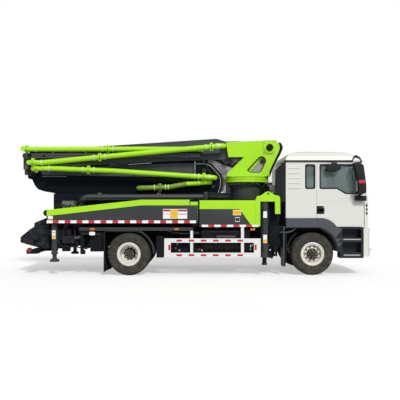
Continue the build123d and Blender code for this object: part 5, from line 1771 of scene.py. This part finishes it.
class Dressing:
    """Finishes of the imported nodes."""

    # Nodes of one finish; a name that ends in _ stands for its left and right nodes
    PLAIN = {
        ARM_2_ENAMEL: "arm_2",
        CAB_ENAMEL: "bumper cab_back cab_front cab_quarter_panels cab_roof",
        CAST_IRON: "engine front_axle rear_axle steering_knuckle_",
        CHASSIS_ENAMEL: "cab_floor chassis_frame front_jack_",
        CHROME: "lift_rod",
        DULL_STEEL: "deck_pipe",
        FAN_GREY: "lift_cylinder",
        GRAINED_BLACK: "air_intake grille rear_mudguards",
        GREY_ENAMEL: "arm_4 pedestal",
        HOPPER_ENAMEL: "hopper hopper_grid",
        LIME_ENAMEL: "side_boxes turret",
        PANEL_GREY: "front_beam_ pump_cylinders rear_jack_",
        RIM_PAINT: "front_rim_ rear_rims_",
        TANK_BLACK: "deck_boxes side_tanks",
        TRIM_PLASTIC: "cab_interior",
        TYRE_RUBBER: "front_tyre_ rear_tyres_",
        WHITE_POWDER: "side_guards",
        WINDOW_GLASS: "cab_glass door_glass_",
    }

    @staticmethod
    def below_beam(p: Vector) -> bool:
        """Tell the swing arm's panel from the beam above it."""
        line = 1519 + (p.x + 3712) * 0.1132 if p.x < -1300 else 1792
        return abs(p.y) > 1247 or p.z < min(line - 4, 1792 if p.x < -164 else 1395)

    def build(self) -> None:
        """Paint every node."""
        for finish, names in self.PLAIN.items():
            for name in names.split():
                self.paint(name, finish)
        # Node, its main finish, its other finish, and what tells the other's faces by their centres
        for name, main_finish, other, pick in (
                # The undersides and inner faces of arms 1 and 3 are painted near-black: painted shade
                ("arm_1", GREY_ENAMEL, CHASSIS_ENAMEL, lambda p: abs(p.y) < 255 and p.z < 3070),
                ("arm_3", ARM_3_ENAMEL, CHASSIS_ENAMEL, lambda p: abs(p.y) < 165 and p.z < 2660),
                # Faces below pipe 1 are painted near-black: painted shadow under the pipe
                ("arm_4_pipe", LIME_ENAMEL, CHASSIS_ENAMEL, lambda p: p.z < 3254),
                # The lower pipe's part behind the arms wears the darker lime: painted shade, with dust
                # patches
                ("boom_pipes", LIME_ENAMEL, LIME_DULL, lambda p: p.z < 2460 and p.y > -480 and p.x < -250),
                ("deck_frame", TANK_BLACK, PANEL_GREY,
                 lambda p: abs(p.y) > 1200 and p.z < 1235 and p.x < 19),
                ("door_", CAB_ENAMEL, GRAINED_BLACK, lambda p: abs(p.y) > 1203),
                # The recess in the housing is painted near-black: painted shade inside it
                ("front_stabiliser_housing", LIME_ENAMEL, CHASSIS_ENAMEL,
                 lambda p: abs(p.y) < 1195 and p.z < 1895),
                ("front_wings", WING_PLASTIC, BUMPER_PLASTIC, lambda p: p.x > 3764),
                ("lamps", LENS_CLEAR, LENS_RED, lambda p: p.x < 0),
                ("rear_swing_arm_", LIME_ENAMEL, PANEL_GREY, self.below_beam),
                # The panel below the boom wears the lighter grey: painted light where the boom shades it
                ("water_tank", CHASSIS_ENAMEL, GRID_GREY,
                 lambda p: p.x > -3420 and p.z < 1915 and abs(p.y) > 695)):
            self.paint(name, main_finish, other, pick)

    @staticmethod
    def paint(name: str, main_finish: Look, other: Look | None = None,
              pick: Callable[[Vector], bool] | None = None) -> None:
        """Give a node, or its left and right nodes, their finishes.

        Args:
            name: Name of the node, or its start where it ends in _.
            main_finish: Finish of its faces.
            other: Finish of the faces that pick names.
            pick: Tells from a face's centre in millimetres whether it wears the other finish.
        """
        for node in [name + side.word for side in Side] if name.endswith("_") else [name]:
            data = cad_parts[node].data
            data.materials.clear()
            for finish in (main_finish, other) if other else (main_finish,):
                data.materials.append(finish.material())
            for polygon in data.polygons:
                polygon.material_index = int(pick(polygon.center / MM)) if pick else 0


def main() -> None:
    """Build the scene piece by piece."""
    logging.basicConfig(level=logging.INFO, format="%(name)s: %(message)s")
    Studio().build()
    Dressing().build()
    for part in (Cab(), CabInterior(), DeliveryPipes(), Boom(), SlewColumn(), Hopper(), Underbody(),
                 DeckTop()):
        part.build()
    for side in Side:
        for sizes in (Wheel.FRONT, Wheel.REAR):
            Wheel().build(sizes, side)
        for part in (SideGuard(), DeckSide(), Jack()):
            part.build(side)


if __name__ == "__main__":
    main()
